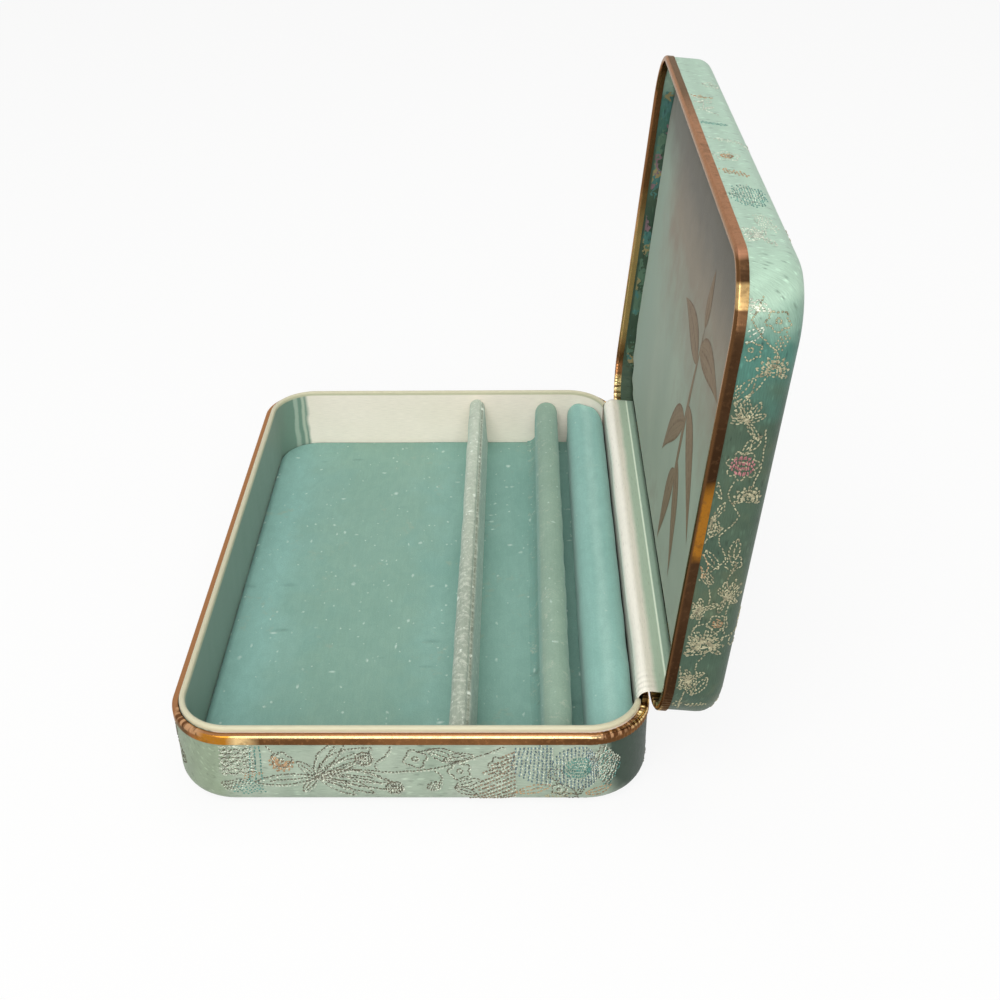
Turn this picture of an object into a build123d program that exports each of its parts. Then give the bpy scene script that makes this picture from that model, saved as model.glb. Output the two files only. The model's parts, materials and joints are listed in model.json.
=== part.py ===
from build123d import *
import math
import os

# Clamshell keepsake case in silk brocade, standing open on its base. Millimetres.
# The origin is the centre of the underside: +X runs to the hinge, +Y along it, +Z up.

# The case
WIDTH = 118.0
LENGTH = 178.0
CORNER_RADIUS = 15.8
FACE_RADIUS = 4.9
BASE_DEPTH = 22.7
LID_DEPTH = 14.6
OPEN_ANGLE = 95.5
PARTING_GAP = 0.3
LAYER_GAP = 0.05
OVERRUN = 5.0

# Walls, from the outside in
RIM_SHEET = 0.2
RIM_OUTER_FLANGE = 2.5
RIM_INNER_FLANGE = 2.3
RIM_EDGE_RADIUS = 0.8
BROCADE = 0.2
SHELL_WALL = 0.7
BASE_TURN_IN = 8.0
LID_TURN_IN = 7.0

# Lining of the base wall, which stands above the rim as a lip
LIP_HEIGHT = 1.1
LIP_CLEARANCE = 0.25
LIP_EDGE_RADIUS = 0.5
WALL_CARD = 0.7
SATIN = 0.2
SATIN_OUTER_FLAP = 8.0
LINING_LIFT = 3.1

# Floor of the base
FLOOR_BOARD = 1.8
FLOOR_TOP = 4.3
FLOOR_EDGE_RADIUS = 1.0
VELVET_CLEARANCE = 0.15

# Divider and ring rolls, which run from wall to wall on the floor
ROLL_COVER = 0.8
DIVIDER_FROM_SIDE = 46.6
DIVIDER_WIDTH = 5.4
DIVIDER_FOOT = 0.8
DIVIDER_TOP = 21.6
INNER_ROLL_FROM_SIDE = 22.7
INNER_ROLL_WIDTH = 7.8
INNER_ROLL_TOP = 20.2
OUTER_ROLL_FROM_SIDE = 9.4
OUTER_ROLL_WIDTH = 11.9
OUTER_ROLL_TOP = 20.1
OUTER_ROLL_LEFT_RADIUS = 5.0
OUTER_ROLL_RIGHT_RADIUS = 3.6

# Padded card in the lid
PAD_FACE = 4.9
PAD_CROWN = 0.6
PAD_EDGE_RADIUS = 1.8
PAD_CLEARANCE = 0.2
PAD_BOARD = 1.5
PAD_BACK = 11.2
PAD_SATIN = 0.25

# Hinges
HINGE_FROM_END = 34.0
HINGE_INSET = 0.1
LEAF_SHEET = 0.4
LEAF_LENGTH = 18.0
LEAF_HEIGHT = 9.0
KNUCKLE_RADIUS = 1.6
MIDDLE_KNUCKLE = 6.0
KNUCKLE_GAP = 0.15
PIN_CLEARANCE = 0.05
PIN_HEAD = 0.3
PIN_HEAD_RIM = 0.3
HINGE_CLEARANCE = 0.3

# Rivets and the springs that snap the lid shut
RIVET_RADIUS = 0.6
RIVET_HOLE_CLEARANCE = 0.05
RIVET_SPACING = 12.0
RIVET_DEPTH = 5.5
RIVET_HEAD = 0.4
RIVET_HEAD_RADIUS = 1.2
SPRING_SHEET = 0.3
SPRING_LENGTH = 16.0
SPRING_FOOT = 7.5
SPRING_FINGER = 4.4
SPRING_REACH = 1.05

# Satin gusset over the hinge
GUSSET = 0.3
GUSSET_FROM_END = 13.0
GUSSET_CLEARANCE = 0.2
GUSSET_DROP = 9.0
GUSSET_TUCK = 6.5

# Each layer's distance inside the outline of the rim
brocade_inset = RIM_SHEET + LAYER_GAP
shell_inset = brocade_inset + BROCADE + LAYER_GAP
cavity_inset = shell_inset + SHELL_WALL
turn_in_inset = cavity_inset + LAYER_GAP
flange_inset = turn_in_inset + BROCADE + LAYER_GAP
mouth_inset = flange_inset + RIM_SHEET
lip_inset = mouth_inset + LIP_CLEARANCE
card_inset = lip_inset + SATIN + LAYER_GAP
inner_satin_inset = card_inset + WALL_CARD + LAYER_GAP
room_inset = inner_satin_inset + SATIN
velvet_inset = room_inset + VELVET_CLEARANCE

# The hinge axis lies half way through the parting gap
hinge_x = WIDTH / 2 - HINGE_INSET
hinge_z = BASE_DEPTH + PARTING_GAP / 2
opening = math.radians(OPEN_ANGLE)
lid_across = Vector(math.cos(opening), 0, -math.sin(opening))
lid_inward = Vector(math.sin(opening), 0, math.cos(opening))
hinge_point = Vector(hinge_x, 0, hinge_z)

# A half's plane is its rim plane: x points to the hinge and z into the shell
BASE_PLANE = Plane(origin=(0, 0, BASE_DEPTH), x_dir=(1, 0, 0), z_dir=(0, 0, -1))
LID_PLANE = Plane(
    origin=hinge_point - lid_across * hinge_x + lid_inward * (PARTING_GAP / 2),
    x_dir=lid_across,
    z_dir=lid_inward,
)
hinge_offset = LENGTH / 2 - HINGE_FROM_END
HINGE_PLACES = {"near": -hinge_offset, "far": hinge_offset}
gusset_length = LENGTH - 2 * GUSSET_FROM_END

spring_face = KNUCKLE_RADIUS + SPRING_SHEET
gusset_radius = spring_face + RIVET_HEAD + GUSSET_CLEARANCE
bore_radius = KNUCKLE_RADIUS - LEAF_SHEET
pin_radius = bore_radius - PIN_CLEARANCE
leaf_top = KNUCKLE_RADIUS + HINGE_CLEARANCE
outer_knuckle = (LEAF_LENGTH - MIDDLE_KNUCKLE) / 2 - KNUCKLE_GAP
outer_knuckle_y = (MIDDLE_KNUCKLE + outer_knuckle) / 2 + KNUCKLE_GAP
rivet_places = (-RIVET_SPACING / 2, RIVET_SPACING / 2)
TOWARDS_AXIS = (Align.MIN, Align.CENTER, Align.MIN)


def save(piece, label):
    """Names a finished piece and writes it as its own STEP file."""
    piece.part.label = label
    export_step(piece.part, "parts/" + label + ".step")


def slab(plane, inset, top, bottom, top_radius=0, bottom_radius=0):
    """Solid inside the outline moved in by inset, between two depths below the rim plane."""
    with BuildPart() as block:
        with BuildSketch(plane.offset(top)):
            RectangleRounded(WIDTH - 2 * inset, LENGTH - 2 * inset, CORNER_RADIUS - inset)
        extrude(amount=bottom - top)
        inward = Axis(plane.origin, plane.z_dir)
        if top_radius:
            fillet(block.faces().sort_by(inward)[0].edges(), top_radius)
        if bottom_radius:
            fillet(block.faces().sort_by(inward)[-1].edges(), bottom_radius)
    return block.part


def layer(plane, depth, inset, top, top_radius=0):
    """Solid of the half's outer form moved in by inset, whose face radius shrinks with it."""
    step = inset - brocade_inset
    return slab(plane, inset, top, depth - step, top_radius, FACE_RADIUS - step)


def ring(plane, outer_inset, inner_inset, top, bottom, top_radius=0):
    """Upright band between two insets, all the way round the wall."""
    with BuildPart() as band:
        add(slab(plane, outer_inset, top, bottom, top_radius))
        add(slab(plane, inner_inset, top, bottom), mode=Mode.SUBTRACT)
    return band.part


def hinge_plane(plane, y):
    """Plane on the hinge axis at y, with x away from the case and z into the half."""
    return Plane(origin=(hinge_x, y, hinge_z), x_dir=plane.x_dir, z_dir=plane.z_dir)


def knuckle_notches(plane):
    """Cuts through the wall that leave the barrels and the pin heads room to turn."""
    room = KNUCKLE_RADIUS + HINGE_CLEARANCE
    notch_length = LEAF_LENGTH + 2 * (LAYER_GAP + PIN_HEAD + HINGE_CLEARANCE)
    with BuildPart() as notches:
        for y in HINGE_PLACES.values():
            with BuildPart(hinge_plane(plane, y), mode=Mode.PRIVATE) as notch:
                with Locations((-room, 0, -OVERRUN)):
                    Box(room + OVERRUN, notch_length, OVERRUN + room, align=TOWARDS_AXIS)
            add(notch.part)
    return notches.part


def leaf_pockets(plane):
    """Cuts in the layers inside the shell where the hinge leaves lie flat against it."""
    pocket_width = KNUCKLE_RADIUS + HINGE_CLEARANCE - bore_radius + LAYER_GAP
    with BuildPart() as pockets:
        for y in HINGE_PLACES.values():
            with BuildPart(hinge_plane(plane, y), mode=Mode.PRIVATE) as pocket:
                with Locations((-KNUCKLE_RADIUS - HINGE_CLEARANCE, 0, 0)):
                    Box(
                        pocket_width,
                        LEAF_LENGTH + 2 * HINGE_CLEARANCE,
                        LEAF_HEIGHT + HINGE_CLEARANCE,
                        align=TOWARDS_AXIS,
                    )
            add(pocket.part)
    return pockets.part


def rivet_holes(plane, y, radius):
    """Round cuts through everything at one hinge, along its rivets."""
    with BuildPart(hinge_plane(plane, y)) as holes:
        with Locations(*[(-KNUCKLE_RADIUS, place, RIVET_DEPTH) for place in rivet_places]):
            Cylinder(radius, 2 * OVERRUN, rotation=(0, 90, 0))
    return holes.part


def make_rim(plane):
    """Brass channel that grips the edge of one half: two flanges joined by a flat land."""
    with BuildPart() as rim:
        add(slab(plane, 0, 0, RIM_OUTER_FLANGE, RIM_EDGE_RADIUS))
        inner_radius = RIM_EDGE_RADIUS - RIM_SHEET
        add(slab(plane, RIM_SHEET, RIM_SHEET, RIM_OUTER_FLANGE, inner_radius), mode=Mode.SUBTRACT)
        add(slab(plane, mouth_inset, 0, RIM_OUTER_FLANGE), mode=Mode.SUBTRACT)
        add(ring(plane, flange_inset, mouth_inset, 0, RIM_INNER_FLANGE))
        add(knuckle_notches(plane), mode=Mode.SUBTRACT)
        add(leaf_pockets(plane), mode=Mode.SUBTRACT)
    return rim


def make_brocade(plane, depth, turn_in):
    """Cloth cover over the outside of a half, turned over its edge and down inside."""
    top = RIM_SHEET + LAYER_GAP
    under = top + BROCADE
    with BuildPart() as cloth:
        add(layer(plane, depth, brocade_inset, top, RIM_EDGE_RADIUS - brocade_inset))
        back = brocade_inset + BROCADE
        add(layer(plane, depth, back, under, RIM_EDGE_RADIUS - back), mode=Mode.SUBTRACT)
        add(slab(plane, turn_in_inset + BROCADE, 0, turn_in), mode=Mode.SUBTRACT)
        add(ring(plane, turn_in_inset, turn_in_inset + BROCADE, top, turn_in))
        add(knuckle_notches(plane), mode=Mode.SUBTRACT)
        add(leaf_pockets(plane), mode=Mode.SUBTRACT)
    return cloth


def make_shell(plane, depth):
    """Pressed board tray that gives a half its shape."""
    top = RIM_SHEET + BROCADE + 2 * LAYER_GAP
    with BuildPart() as shell:
        add(layer(plane, depth, shell_inset, top, RIM_EDGE_RADIUS - shell_inset))
        add(layer(plane, depth, cavity_inset, top), mode=Mode.SUBTRACT)
        add(knuckle_notches(plane), mode=Mode.SUBTRACT)
        for y in HINGE_PLACES.values():
            hole = RIVET_RADIUS + RIVET_HOLE_CLEARANCE
            add(rivet_holes(plane, y, hole), mode=Mode.SUBTRACT)
    return shell


def make_leaf(plane, y, knuckle_length, knuckle_places):
    """Hinge leaf: a plate inside the wall, with knuckles rolled round the pin."""
    with BuildPart(hinge_plane(plane, y)) as leaf:
        with Locations((-KNUCKLE_RADIUS, 0, leaf_top)):
            Box(LEAF_SHEET, LEAF_LENGTH, LEAF_HEIGHT - leaf_top, align=TOWARDS_AXIS)
        with Locations(*[(-KNUCKLE_RADIUS, place, 0) for place in knuckle_places]):
            Box(LEAF_SHEET, knuckle_length, leaf_top, align=TOWARDS_AXIS)
        with Locations(*[(0, place, 0) for place in knuckle_places]):
            Cylinder(KNUCKLE_RADIUS, knuckle_length, rotation=(90, 0, 0))
        Cylinder(bore_radius, LEAF_LENGTH, rotation=(90, 0, 0), mode=Mode.SUBTRACT)
        with Locations(*[(-KNUCKLE_RADIUS, place, RIVET_DEPTH) for place in rivet_places]):
            Cylinder(
                RIVET_RADIUS + RIVET_HOLE_CLEARANCE,
                2 * OVERRUN,
                rotation=(0, 90, 0),
                mode=Mode.SUBTRACT,
            )
    return leaf


def make_pin(y):
    """Hinge pin with a peened head at each end."""
    shank = LEAF_LENGTH + 2 * LAYER_GAP
    with BuildPart(hinge_plane(BASE_PLANE, y)) as pin:
        Cylinder(pin_radius, shank, rotation=(90, 0, 0))
        with Locations((0, (shank + PIN_HEAD) / 2, 0), (0, -(shank + PIN_HEAD) / 2, 0)):
            Cylinder(pin_radius + PIN_HEAD_RIM, PIN_HEAD, rotation=(90, 0, 0))
    return pin


def make_spring(y):
    """Flat spring riveted over the base leaf, whose finger reaches the lid's knuckle."""
    with BuildPart(hinge_plane(BASE_PLANE, y)) as spring:
        with Locations((-spring_face, 0, leaf_top)):
            Box(SPRING_SHEET, SPRING_LENGTH, SPRING_FOOT - leaf_top, align=TOWARDS_AXIS)
        with Locations((-spring_face, 0, SPRING_REACH)):
            Box(SPRING_SHEET, SPRING_FINGER, SPRING_FOOT - SPRING_REACH, align=TOWARDS_AXIS)
        hole = RIVET_RADIUS + RIVET_HOLE_CLEARANCE
        with Locations(*[(-spring_face, place, RIVET_DEPTH) for place in rivet_places]):
            Cylinder(hole, 2 * OVERRUN, rotation=(0, 90, 0), mode=Mode.SUBTRACT)
    return spring


def make_rivets(plane, under_head):
    """Four rivets: shanks flush with the outside of the shell, heads on the inside."""
    tail = hinge_x - (WIDTH / 2 - shell_inset)
    with BuildPart() as rivets:
        for y in HINGE_PLACES.values():
            with BuildPart(hinge_plane(plane, y), mode=Mode.PRIVATE) as pair:
                outward = (0, 90, 0)
                ends = (Align.CENTER, Align.CENTER, Align.MIN)
                for place in rivet_places:
                    with Locations((-under_head, place, RIVET_DEPTH)):
                        Cylinder(RIVET_RADIUS, under_head - tail, rotation=outward, align=ends)
                    with Locations((-under_head - RIVET_HEAD, place, RIVET_DEPTH)):
                        Cylinder(RIVET_HEAD_RADIUS, RIVET_HEAD, rotation=outward, align=ends)
            add(pair.part)
    return rivets


def roll_block(x, width, top, left_radius, right_radius, foot=0, cover=0):
    """Upright padded roll along the hinge side, moved in by the thickness of its cover."""
    half = width / 2 - cover
    height = top - FLOOR_TOP - cover
    left = left_radius - cover
    right = right_radius - cover
    with BuildPart() as roll:
        with BuildSketch(Plane(origin=(x, 0, FLOOR_TOP), x_dir=(1, 0, 0), z_dir=(0, -1, 0))):
            with BuildLine():
                Line((-half - foot, 0), (-half, height - left))
                left_arc = CenterArc((left - half, height - left), left, 180, -90)
                right_arc = CenterArc((half - right, height - right), right, 90, -90)
                if 2 * half > left + right + LAYER_GAP:
                    Line(left_arc @ 1, right_arc @ 0)
                Line((half, height - right), (half + foot, 0))
                Line((half + foot, 0), (-half - foot, 0))
            make_face()
        extrude(amount=LENGTH / 2, both=True)
        add(slab(BASE_PLANE, velvet_inset + cover, 0, BASE_DEPTH), mode=Mode.INTERSECT)
    return roll.part


def make_roll(label, x, width, top, left_radius, right_radius, foot=0):
    """Writes a roll as its stuffing and the velvet drawn over it."""
    with BuildPart() as core:
        add(roll_block(x, width, top, left_radius, right_radius, foot, ROLL_COVER))
    with BuildPart() as velvet:
        add(roll_block(x, width, top, left_radius, right_radius, foot))
        add(core.part, mode=Mode.SUBTRACT)
    save(core, label + "_core")
    save(velvet, label + "_velvet")


def pad_block(top, bottom, shrink=0, edge_radius=0):
    """Solid inside the pad's own outline, which stops short of the gusset at the hinge."""
    free_side = WIDTH / 2 - turn_in_inset - BROCADE - PAD_CLEARANCE - shrink
    hinge_side = hinge_x - gusset_radius - GUSSET - PAD_CLEARANCE - shrink
    ends = LENGTH / 2 - turn_in_inset - BROCADE - PAD_CLEARANCE - shrink
    corner = CORNER_RADIUS - (WIDTH / 2 - free_side)
    middle = (hinge_side - free_side) / 2
    half_width = (hinge_side + free_side) / 2
    with BuildPart() as pad:
        with BuildSketch(LID_PLANE.offset(bottom)):
            with Locations((middle, 0)):
                RectangleRounded(2 * half_width, 2 * ends, corner)
        extrude(amount=top - bottom)
        if edge_radius:
            crown_plane = Plane(
                origin=LID_PLANE.origin + lid_across * middle + lid_inward * top,
                x_dir=lid_across,
                z_dir=(0, 1, 0),
            )
            with BuildPart(mode=Mode.INTERSECT):
                with BuildSketch(crown_plane):
                    with BuildLine():
                        ThreePointArc((-half_width, -PAD_CROWN), (0, 0), (half_width, -PAD_CROWN))
                        Polyline(
                            (half_width, -PAD_CROWN),
                            (half_width, top - bottom),
                            (-half_width, top - bottom),
                            (-half_width, -PAD_CROWN),
                        )
                    make_face()
                extrude(amount=LENGTH / 2, both=True)
            face = pad.faces().sort_by(Axis(LID_PLANE.origin, lid_inward))[0]
            fillet(face.edges(), edge_radius)
    return pad.part


os.makedirs("parts", exist_ok=True)

# Base shell, cover and rim
save(make_shell(BASE_PLANE, BASE_DEPTH), "base_shell")
save(make_brocade(BASE_PLANE, BASE_DEPTH, BASE_TURN_IN), "base_brocade")
save(make_rim(BASE_PLANE), "base_rim")

# Card and satin that line three sides of the base wall, open where the gusset comes down
with BuildPart() as gusset_way:
    with Locations((WIDTH / 2, 0, BASE_DEPTH + LIP_HEIGHT + OVERRUN)):
        Box(
            CORNER_RADIUS * 2,
            gusset_length + 2 * HINGE_CLEARANCE,
            BASE_DEPTH + LIP_HEIGHT + 2 * OVERRUN,
            align=(Align.CENTER, Align.CENTER, Align.MAX),
        )
lining_bottom = BASE_DEPTH - LINING_LIFT
card_back = card_inset + WALL_CARD
card_top = SATIN + LAYER_GAP - LIP_HEIGHT
card_radius = LIP_EDGE_RADIUS - SATIN - LAYER_GAP
with BuildPart() as base_wall_card:
    add(ring(BASE_PLANE, card_inset, card_back, card_top, lining_bottom, card_radius))
    add(gusset_way.part, mode=Mode.SUBTRACT)
save(base_wall_card, "base_wall_card")

with BuildPart() as base_wall_satin:
    add(slab(BASE_PLANE, lip_inset, -LIP_HEIGHT, SATIN_OUTER_FLAP, LIP_EDGE_RADIUS))
    flap_radius = LIP_EDGE_RADIUS - SATIN
    flap_back = slab(BASE_PLANE, lip_inset + SATIN, SATIN - LIP_HEIGHT, SATIN_OUTER_FLAP, flap_radius)
    add(flap_back, mode=Mode.SUBTRACT)
    add(slab(BASE_PLANE, room_inset, -LIP_HEIGHT, SATIN_OUTER_FLAP), mode=Mode.SUBTRACT)
    add(ring(BASE_PLANE, inner_satin_inset, room_inset, -LIP_HEIGHT, lining_bottom))
    add(gusset_way.part, mode=Mode.SUBTRACT)
save(base_wall_satin, "base_wall_satin")

# Floor: a board pressed into the shell, and the velvet laid over it
shell_floor = BASE_DEPTH - (cavity_inset - brocade_inset)
board_inset = cavity_inset + FACE_RADIUS - (cavity_inset - brocade_inset)
board_bottom = shell_floor - LAYER_GAP
with BuildPart() as floor_board:
    add(slab(BASE_PLANE, board_inset, board_bottom - FLOOR_BOARD, board_bottom))
save(floor_board, "floor_board")

velvet_bottom = board_bottom - FLOOR_BOARD - LAYER_GAP
with BuildPart() as floor_velvet:
    add(slab(BASE_PLANE, velvet_inset, BASE_DEPTH - FLOOR_TOP, velvet_bottom, FLOOR_EDGE_RADIUS))
save(floor_velvet, "floor_velvet")

# Divider and the two rolls that grip rings between them, placed from the hinge side
divider_x = WIDTH / 2 - DIVIDER_FROM_SIDE
inner_roll_x = WIDTH / 2 - INNER_ROLL_FROM_SIDE
outer_roll_x = WIDTH / 2 - OUTER_ROLL_FROM_SIDE
divider_radius = DIVIDER_WIDTH / 2
make_roll("divider", divider_x, DIVIDER_WIDTH, DIVIDER_TOP, divider_radius, divider_radius, DIVIDER_FOOT)
inner_radius = INNER_ROLL_WIDTH / 2
make_roll("inner_ring_roll", inner_roll_x, INNER_ROLL_WIDTH, INNER_ROLL_TOP, inner_radius, inner_radius)
make_roll(
    "outer_ring_roll",
    outer_roll_x,
    OUTER_ROLL_WIDTH,
    OUTER_ROLL_TOP,
    OUTER_ROLL_LEFT_RADIUS,
    OUTER_ROLL_RIGHT_RADIUS,
)

# Lid shell, cover, rim and padded card
save(make_shell(LID_PLANE, LID_DEPTH), "lid_shell")
save(make_brocade(LID_PLANE, LID_DEPTH, LID_TURN_IN), "lid_brocade")
save(make_rim(LID_PLANE), "lid_rim")

pad_board_top = PAD_BACK - PAD_BOARD
foam_shrink = PAD_SATIN + LAYER_GAP
with BuildPart() as lid_pad_board:
    add(pad_block(pad_board_top, PAD_BACK, foam_shrink))
save(lid_pad_board, "lid_pad_board")

foam_top = PAD_FACE + foam_shrink
foam_edge = PAD_EDGE_RADIUS - foam_shrink
with BuildPart() as lid_pad_foam:
    add(pad_block(foam_top, pad_board_top - LAYER_GAP, foam_shrink, foam_edge))
save(lid_pad_foam, "lid_pad_foam")

with BuildPart() as lid_pad_satin:
    add(pad_block(PAD_FACE, PAD_BACK, 0, PAD_EDGE_RADIUS))
    add(
        pad_block(PAD_FACE + PAD_SATIN, PAD_BACK, PAD_SATIN, PAD_EDGE_RADIUS - PAD_SATIN),
        mode=Mode.SUBTRACT,
    )
save(lid_pad_satin, "lid_pad_satin")

# Hinges: the base leaf has the two outer knuckles and the lid leaf the middle one
for place, y in HINGE_PLACES.items():
    outer_places = (-outer_knuckle_y, outer_knuckle_y)
    save(make_leaf(BASE_PLANE, y, outer_knuckle, outer_places), "base_hinge_leaf_" + place)
    save(make_leaf(LID_PLANE, y, MIDDLE_KNUCKLE, (0,)), "lid_hinge_leaf_" + place)
    save(make_pin(y), "hinge_pin_" + place)
    save(make_spring(y), "snap_spring_" + place)
save(make_rivets(BASE_PLANE, spring_face), "base_rivets")
save(make_rivets(LID_PLANE, KNUCKLE_RADIUS), "lid_rivets")

# Satin gusset: down inside the base, over the barrels and under the edge of the lid's pad
lid_run = Vector(lid_inward.X, lid_inward.Z)
base_run = Vector(0, -GUSSET_DROP)
axis_point = (hinge_x, hinge_z)
with BuildPart() as hinge_gusset:
    with BuildSketch(Plane.XZ):
        with BuildLine():
            under = CenterArc(axis_point, gusset_radius, 180, -OPEN_ANGLE)
            over = CenterArc(axis_point, gusset_radius + GUSSET, 180, -OPEN_ANGLE)
            Polyline(under @ 0, under @ 0 + base_run, over @ 0 + base_run, over @ 0)
            tuck = lid_run * GUSSET_TUCK
            Polyline(under @ 1, under @ 1 + tuck, over @ 1 + tuck, over @ 1)
        make_face()
    extrude(amount=gusset_length / 2, both=True)
save(hinge_gusset, "hinge_gusset")
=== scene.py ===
"""Silk brocade keepsake case, standing open: cloth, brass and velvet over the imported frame.

Lengths are metres, written as millimetres times MM. Each half of the case is described from
its rim plane: u runs across the case to the hinge, v along the hinge and w into the shell.
"""

from __future__ import annotations

import json
import logging
import math
from abc import ABC, abstractmethod
from dataclasses import dataclass, field
from enum import Enum
from functools import cache

import bmesh
import bpy
import numpy as np
from mathutils import Matrix

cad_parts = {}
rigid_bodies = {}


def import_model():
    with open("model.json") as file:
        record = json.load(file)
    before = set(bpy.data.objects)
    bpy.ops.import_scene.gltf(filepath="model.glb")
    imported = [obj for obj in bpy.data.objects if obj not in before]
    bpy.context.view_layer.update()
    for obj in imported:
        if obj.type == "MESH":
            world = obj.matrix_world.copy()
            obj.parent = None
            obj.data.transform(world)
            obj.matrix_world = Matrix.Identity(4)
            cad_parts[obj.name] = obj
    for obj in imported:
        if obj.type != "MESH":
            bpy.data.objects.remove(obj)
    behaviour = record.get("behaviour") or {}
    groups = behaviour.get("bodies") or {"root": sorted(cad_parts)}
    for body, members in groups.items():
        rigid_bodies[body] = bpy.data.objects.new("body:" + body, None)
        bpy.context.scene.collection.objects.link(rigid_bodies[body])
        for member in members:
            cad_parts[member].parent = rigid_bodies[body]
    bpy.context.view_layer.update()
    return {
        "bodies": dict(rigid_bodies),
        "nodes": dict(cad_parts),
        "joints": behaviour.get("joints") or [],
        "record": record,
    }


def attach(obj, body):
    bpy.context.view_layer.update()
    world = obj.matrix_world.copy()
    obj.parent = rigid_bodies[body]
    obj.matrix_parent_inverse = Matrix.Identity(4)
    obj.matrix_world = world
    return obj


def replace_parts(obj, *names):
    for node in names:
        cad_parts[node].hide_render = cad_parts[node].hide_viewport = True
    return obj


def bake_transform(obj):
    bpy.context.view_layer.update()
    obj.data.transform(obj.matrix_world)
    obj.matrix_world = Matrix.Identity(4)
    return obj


MM = 0.001
LOG = logging.getLogger("case")

Pair = tuple[float, float]
Triple = tuple[float, float, float]
Colour = tuple[float, float, float]
Piece = bpy.types.Object
Material = bpy.types.Material
Socket = bpy.types.NodeSocket


class Body(Enum):
    """The two rigid bodies of the case."""

    BASE = "base"
    LID = "lid"


class Slot(Enum):
    """Material slots of the record."""

    BROCADE = "brocade"
    BRASS = "brass"
    IVORY_SATIN = "ivory_satin"
    SAGE_SATIN = "sage_satin"
    VELVET = "velvet"


@dataclass(frozen=True)
class Walls:
    """Distances of each layer inside the rim's outline, and the sizes of the edges."""

    width: float = 118.0 * MM
    length: float = 178.0 * MM
    corner: float = 15.8 * MM
    face_radius: float = 4.9 * MM
    base_depth: float = 22.7 * MM
    lid_depth: float = 14.6 * MM
    rim_sheet: float = 0.2 * MM
    rim_outer_flange: float = 2.5 * MM
    rim_inner_flange: float = 2.3 * MM
    rim_edge: float = 0.8 * MM
    cloth: float = 0.2 * MM
    cloth_inset: float = 0.25 * MM
    turn_in_inset: float = 1.45 * MM
    mouth_inset: float = 1.7 * MM
    lip_inset: float = 1.95 * MM
    room_inset: float = 3.15 * MM
    velvet_inset: float = 3.3 * MM
    floor_top: float = 4.3 * MM
    lip_height: float = 1.1 * MM
    notch_depth: float = 2.05 * MM
    notch_half: float = 9.65 * MM
    hinge_offset: float = 55.0 * MM


WALLS = Walls()


@dataclass(frozen=True)
class Half:
    """One half of the case: its rim plane, the way into its shell and its depth."""

    origin: np.ndarray
    across: np.ndarray
    inward: np.ndarray
    depth: float

    @property
    def basis(self) -> np.ndarray:
        """The ways of u, v and w in the row frame, as three rows."""
        return np.stack((self.across, np.array((0.0, 1.0, 0.0)), self.inward))

    def place(self, flat: np.ndarray, depth: np.ndarray | float) -> np.ndarray:
        """Points of the row frame: origin + u across + v along the hinge + depth inward."""
        across, along, inward = self.basis
        u, v, w = np.broadcast_arrays(flat[..., 0], flat[..., 1], depth)
        return self.origin + u[..., None] * across + v[..., None] * along + w[..., None] * inward

    def turn(self, vectors: np.ndarray) -> np.ndarray:
        """Directions given as (u, v, w) triples, turned into the row frame."""
        return vectors @ self.basis

    def untwist(self, points: np.ndarray) -> np.ndarray:
        """Points of the row frame as u, v, w, the reverse of place."""
        return (points - self.origin) @ self.basis.T


@dataclass(frozen=True)
class Hinge:
    """The hinge axis and the open angle, read from the frame's one joint."""

    x: float
    z: float
    opening: float

    @classmethod
    def read(cls, joint: dict) -> Hinge:
        """The hinge of a joint of the record.

        Args:
            joint: the joint's entry, with pos_m and range_deg.

        Returns:
            Its axis and how far it stands open.
        """
        place = joint["pos_m"]
        return cls(place[0], place[2], math.radians(-min(joint["range_deg"])))

    def halves(self) -> tuple[Half, Half]:
        """The base and the lid. Shut, the lid's rim plane lies as far over the axis as the
        base's lies under it; open, it is turned by the opening about the axis."""
        rim, across, down = np.array(((0.0, 0.0, WALLS.base_depth), (1.0, 0.0, 0.0), (0.0, 0.0, -1.0)))
        base = Half(rim, across, down, WALLS.base_depth)
        sin, cos = math.sin(self.opening), math.cos(self.opening)
        across = np.array((cos, 0.0, -sin))
        inward = np.array((sin, 0.0, cos))
        axis = np.array((self.x, 0.0, self.z))
        gap = self.z - WALLS.base_depth
        lid = Half(axis - across * self.x + inward * gap, across, inward, WALLS.lid_depth)
        return base, lid


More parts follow.
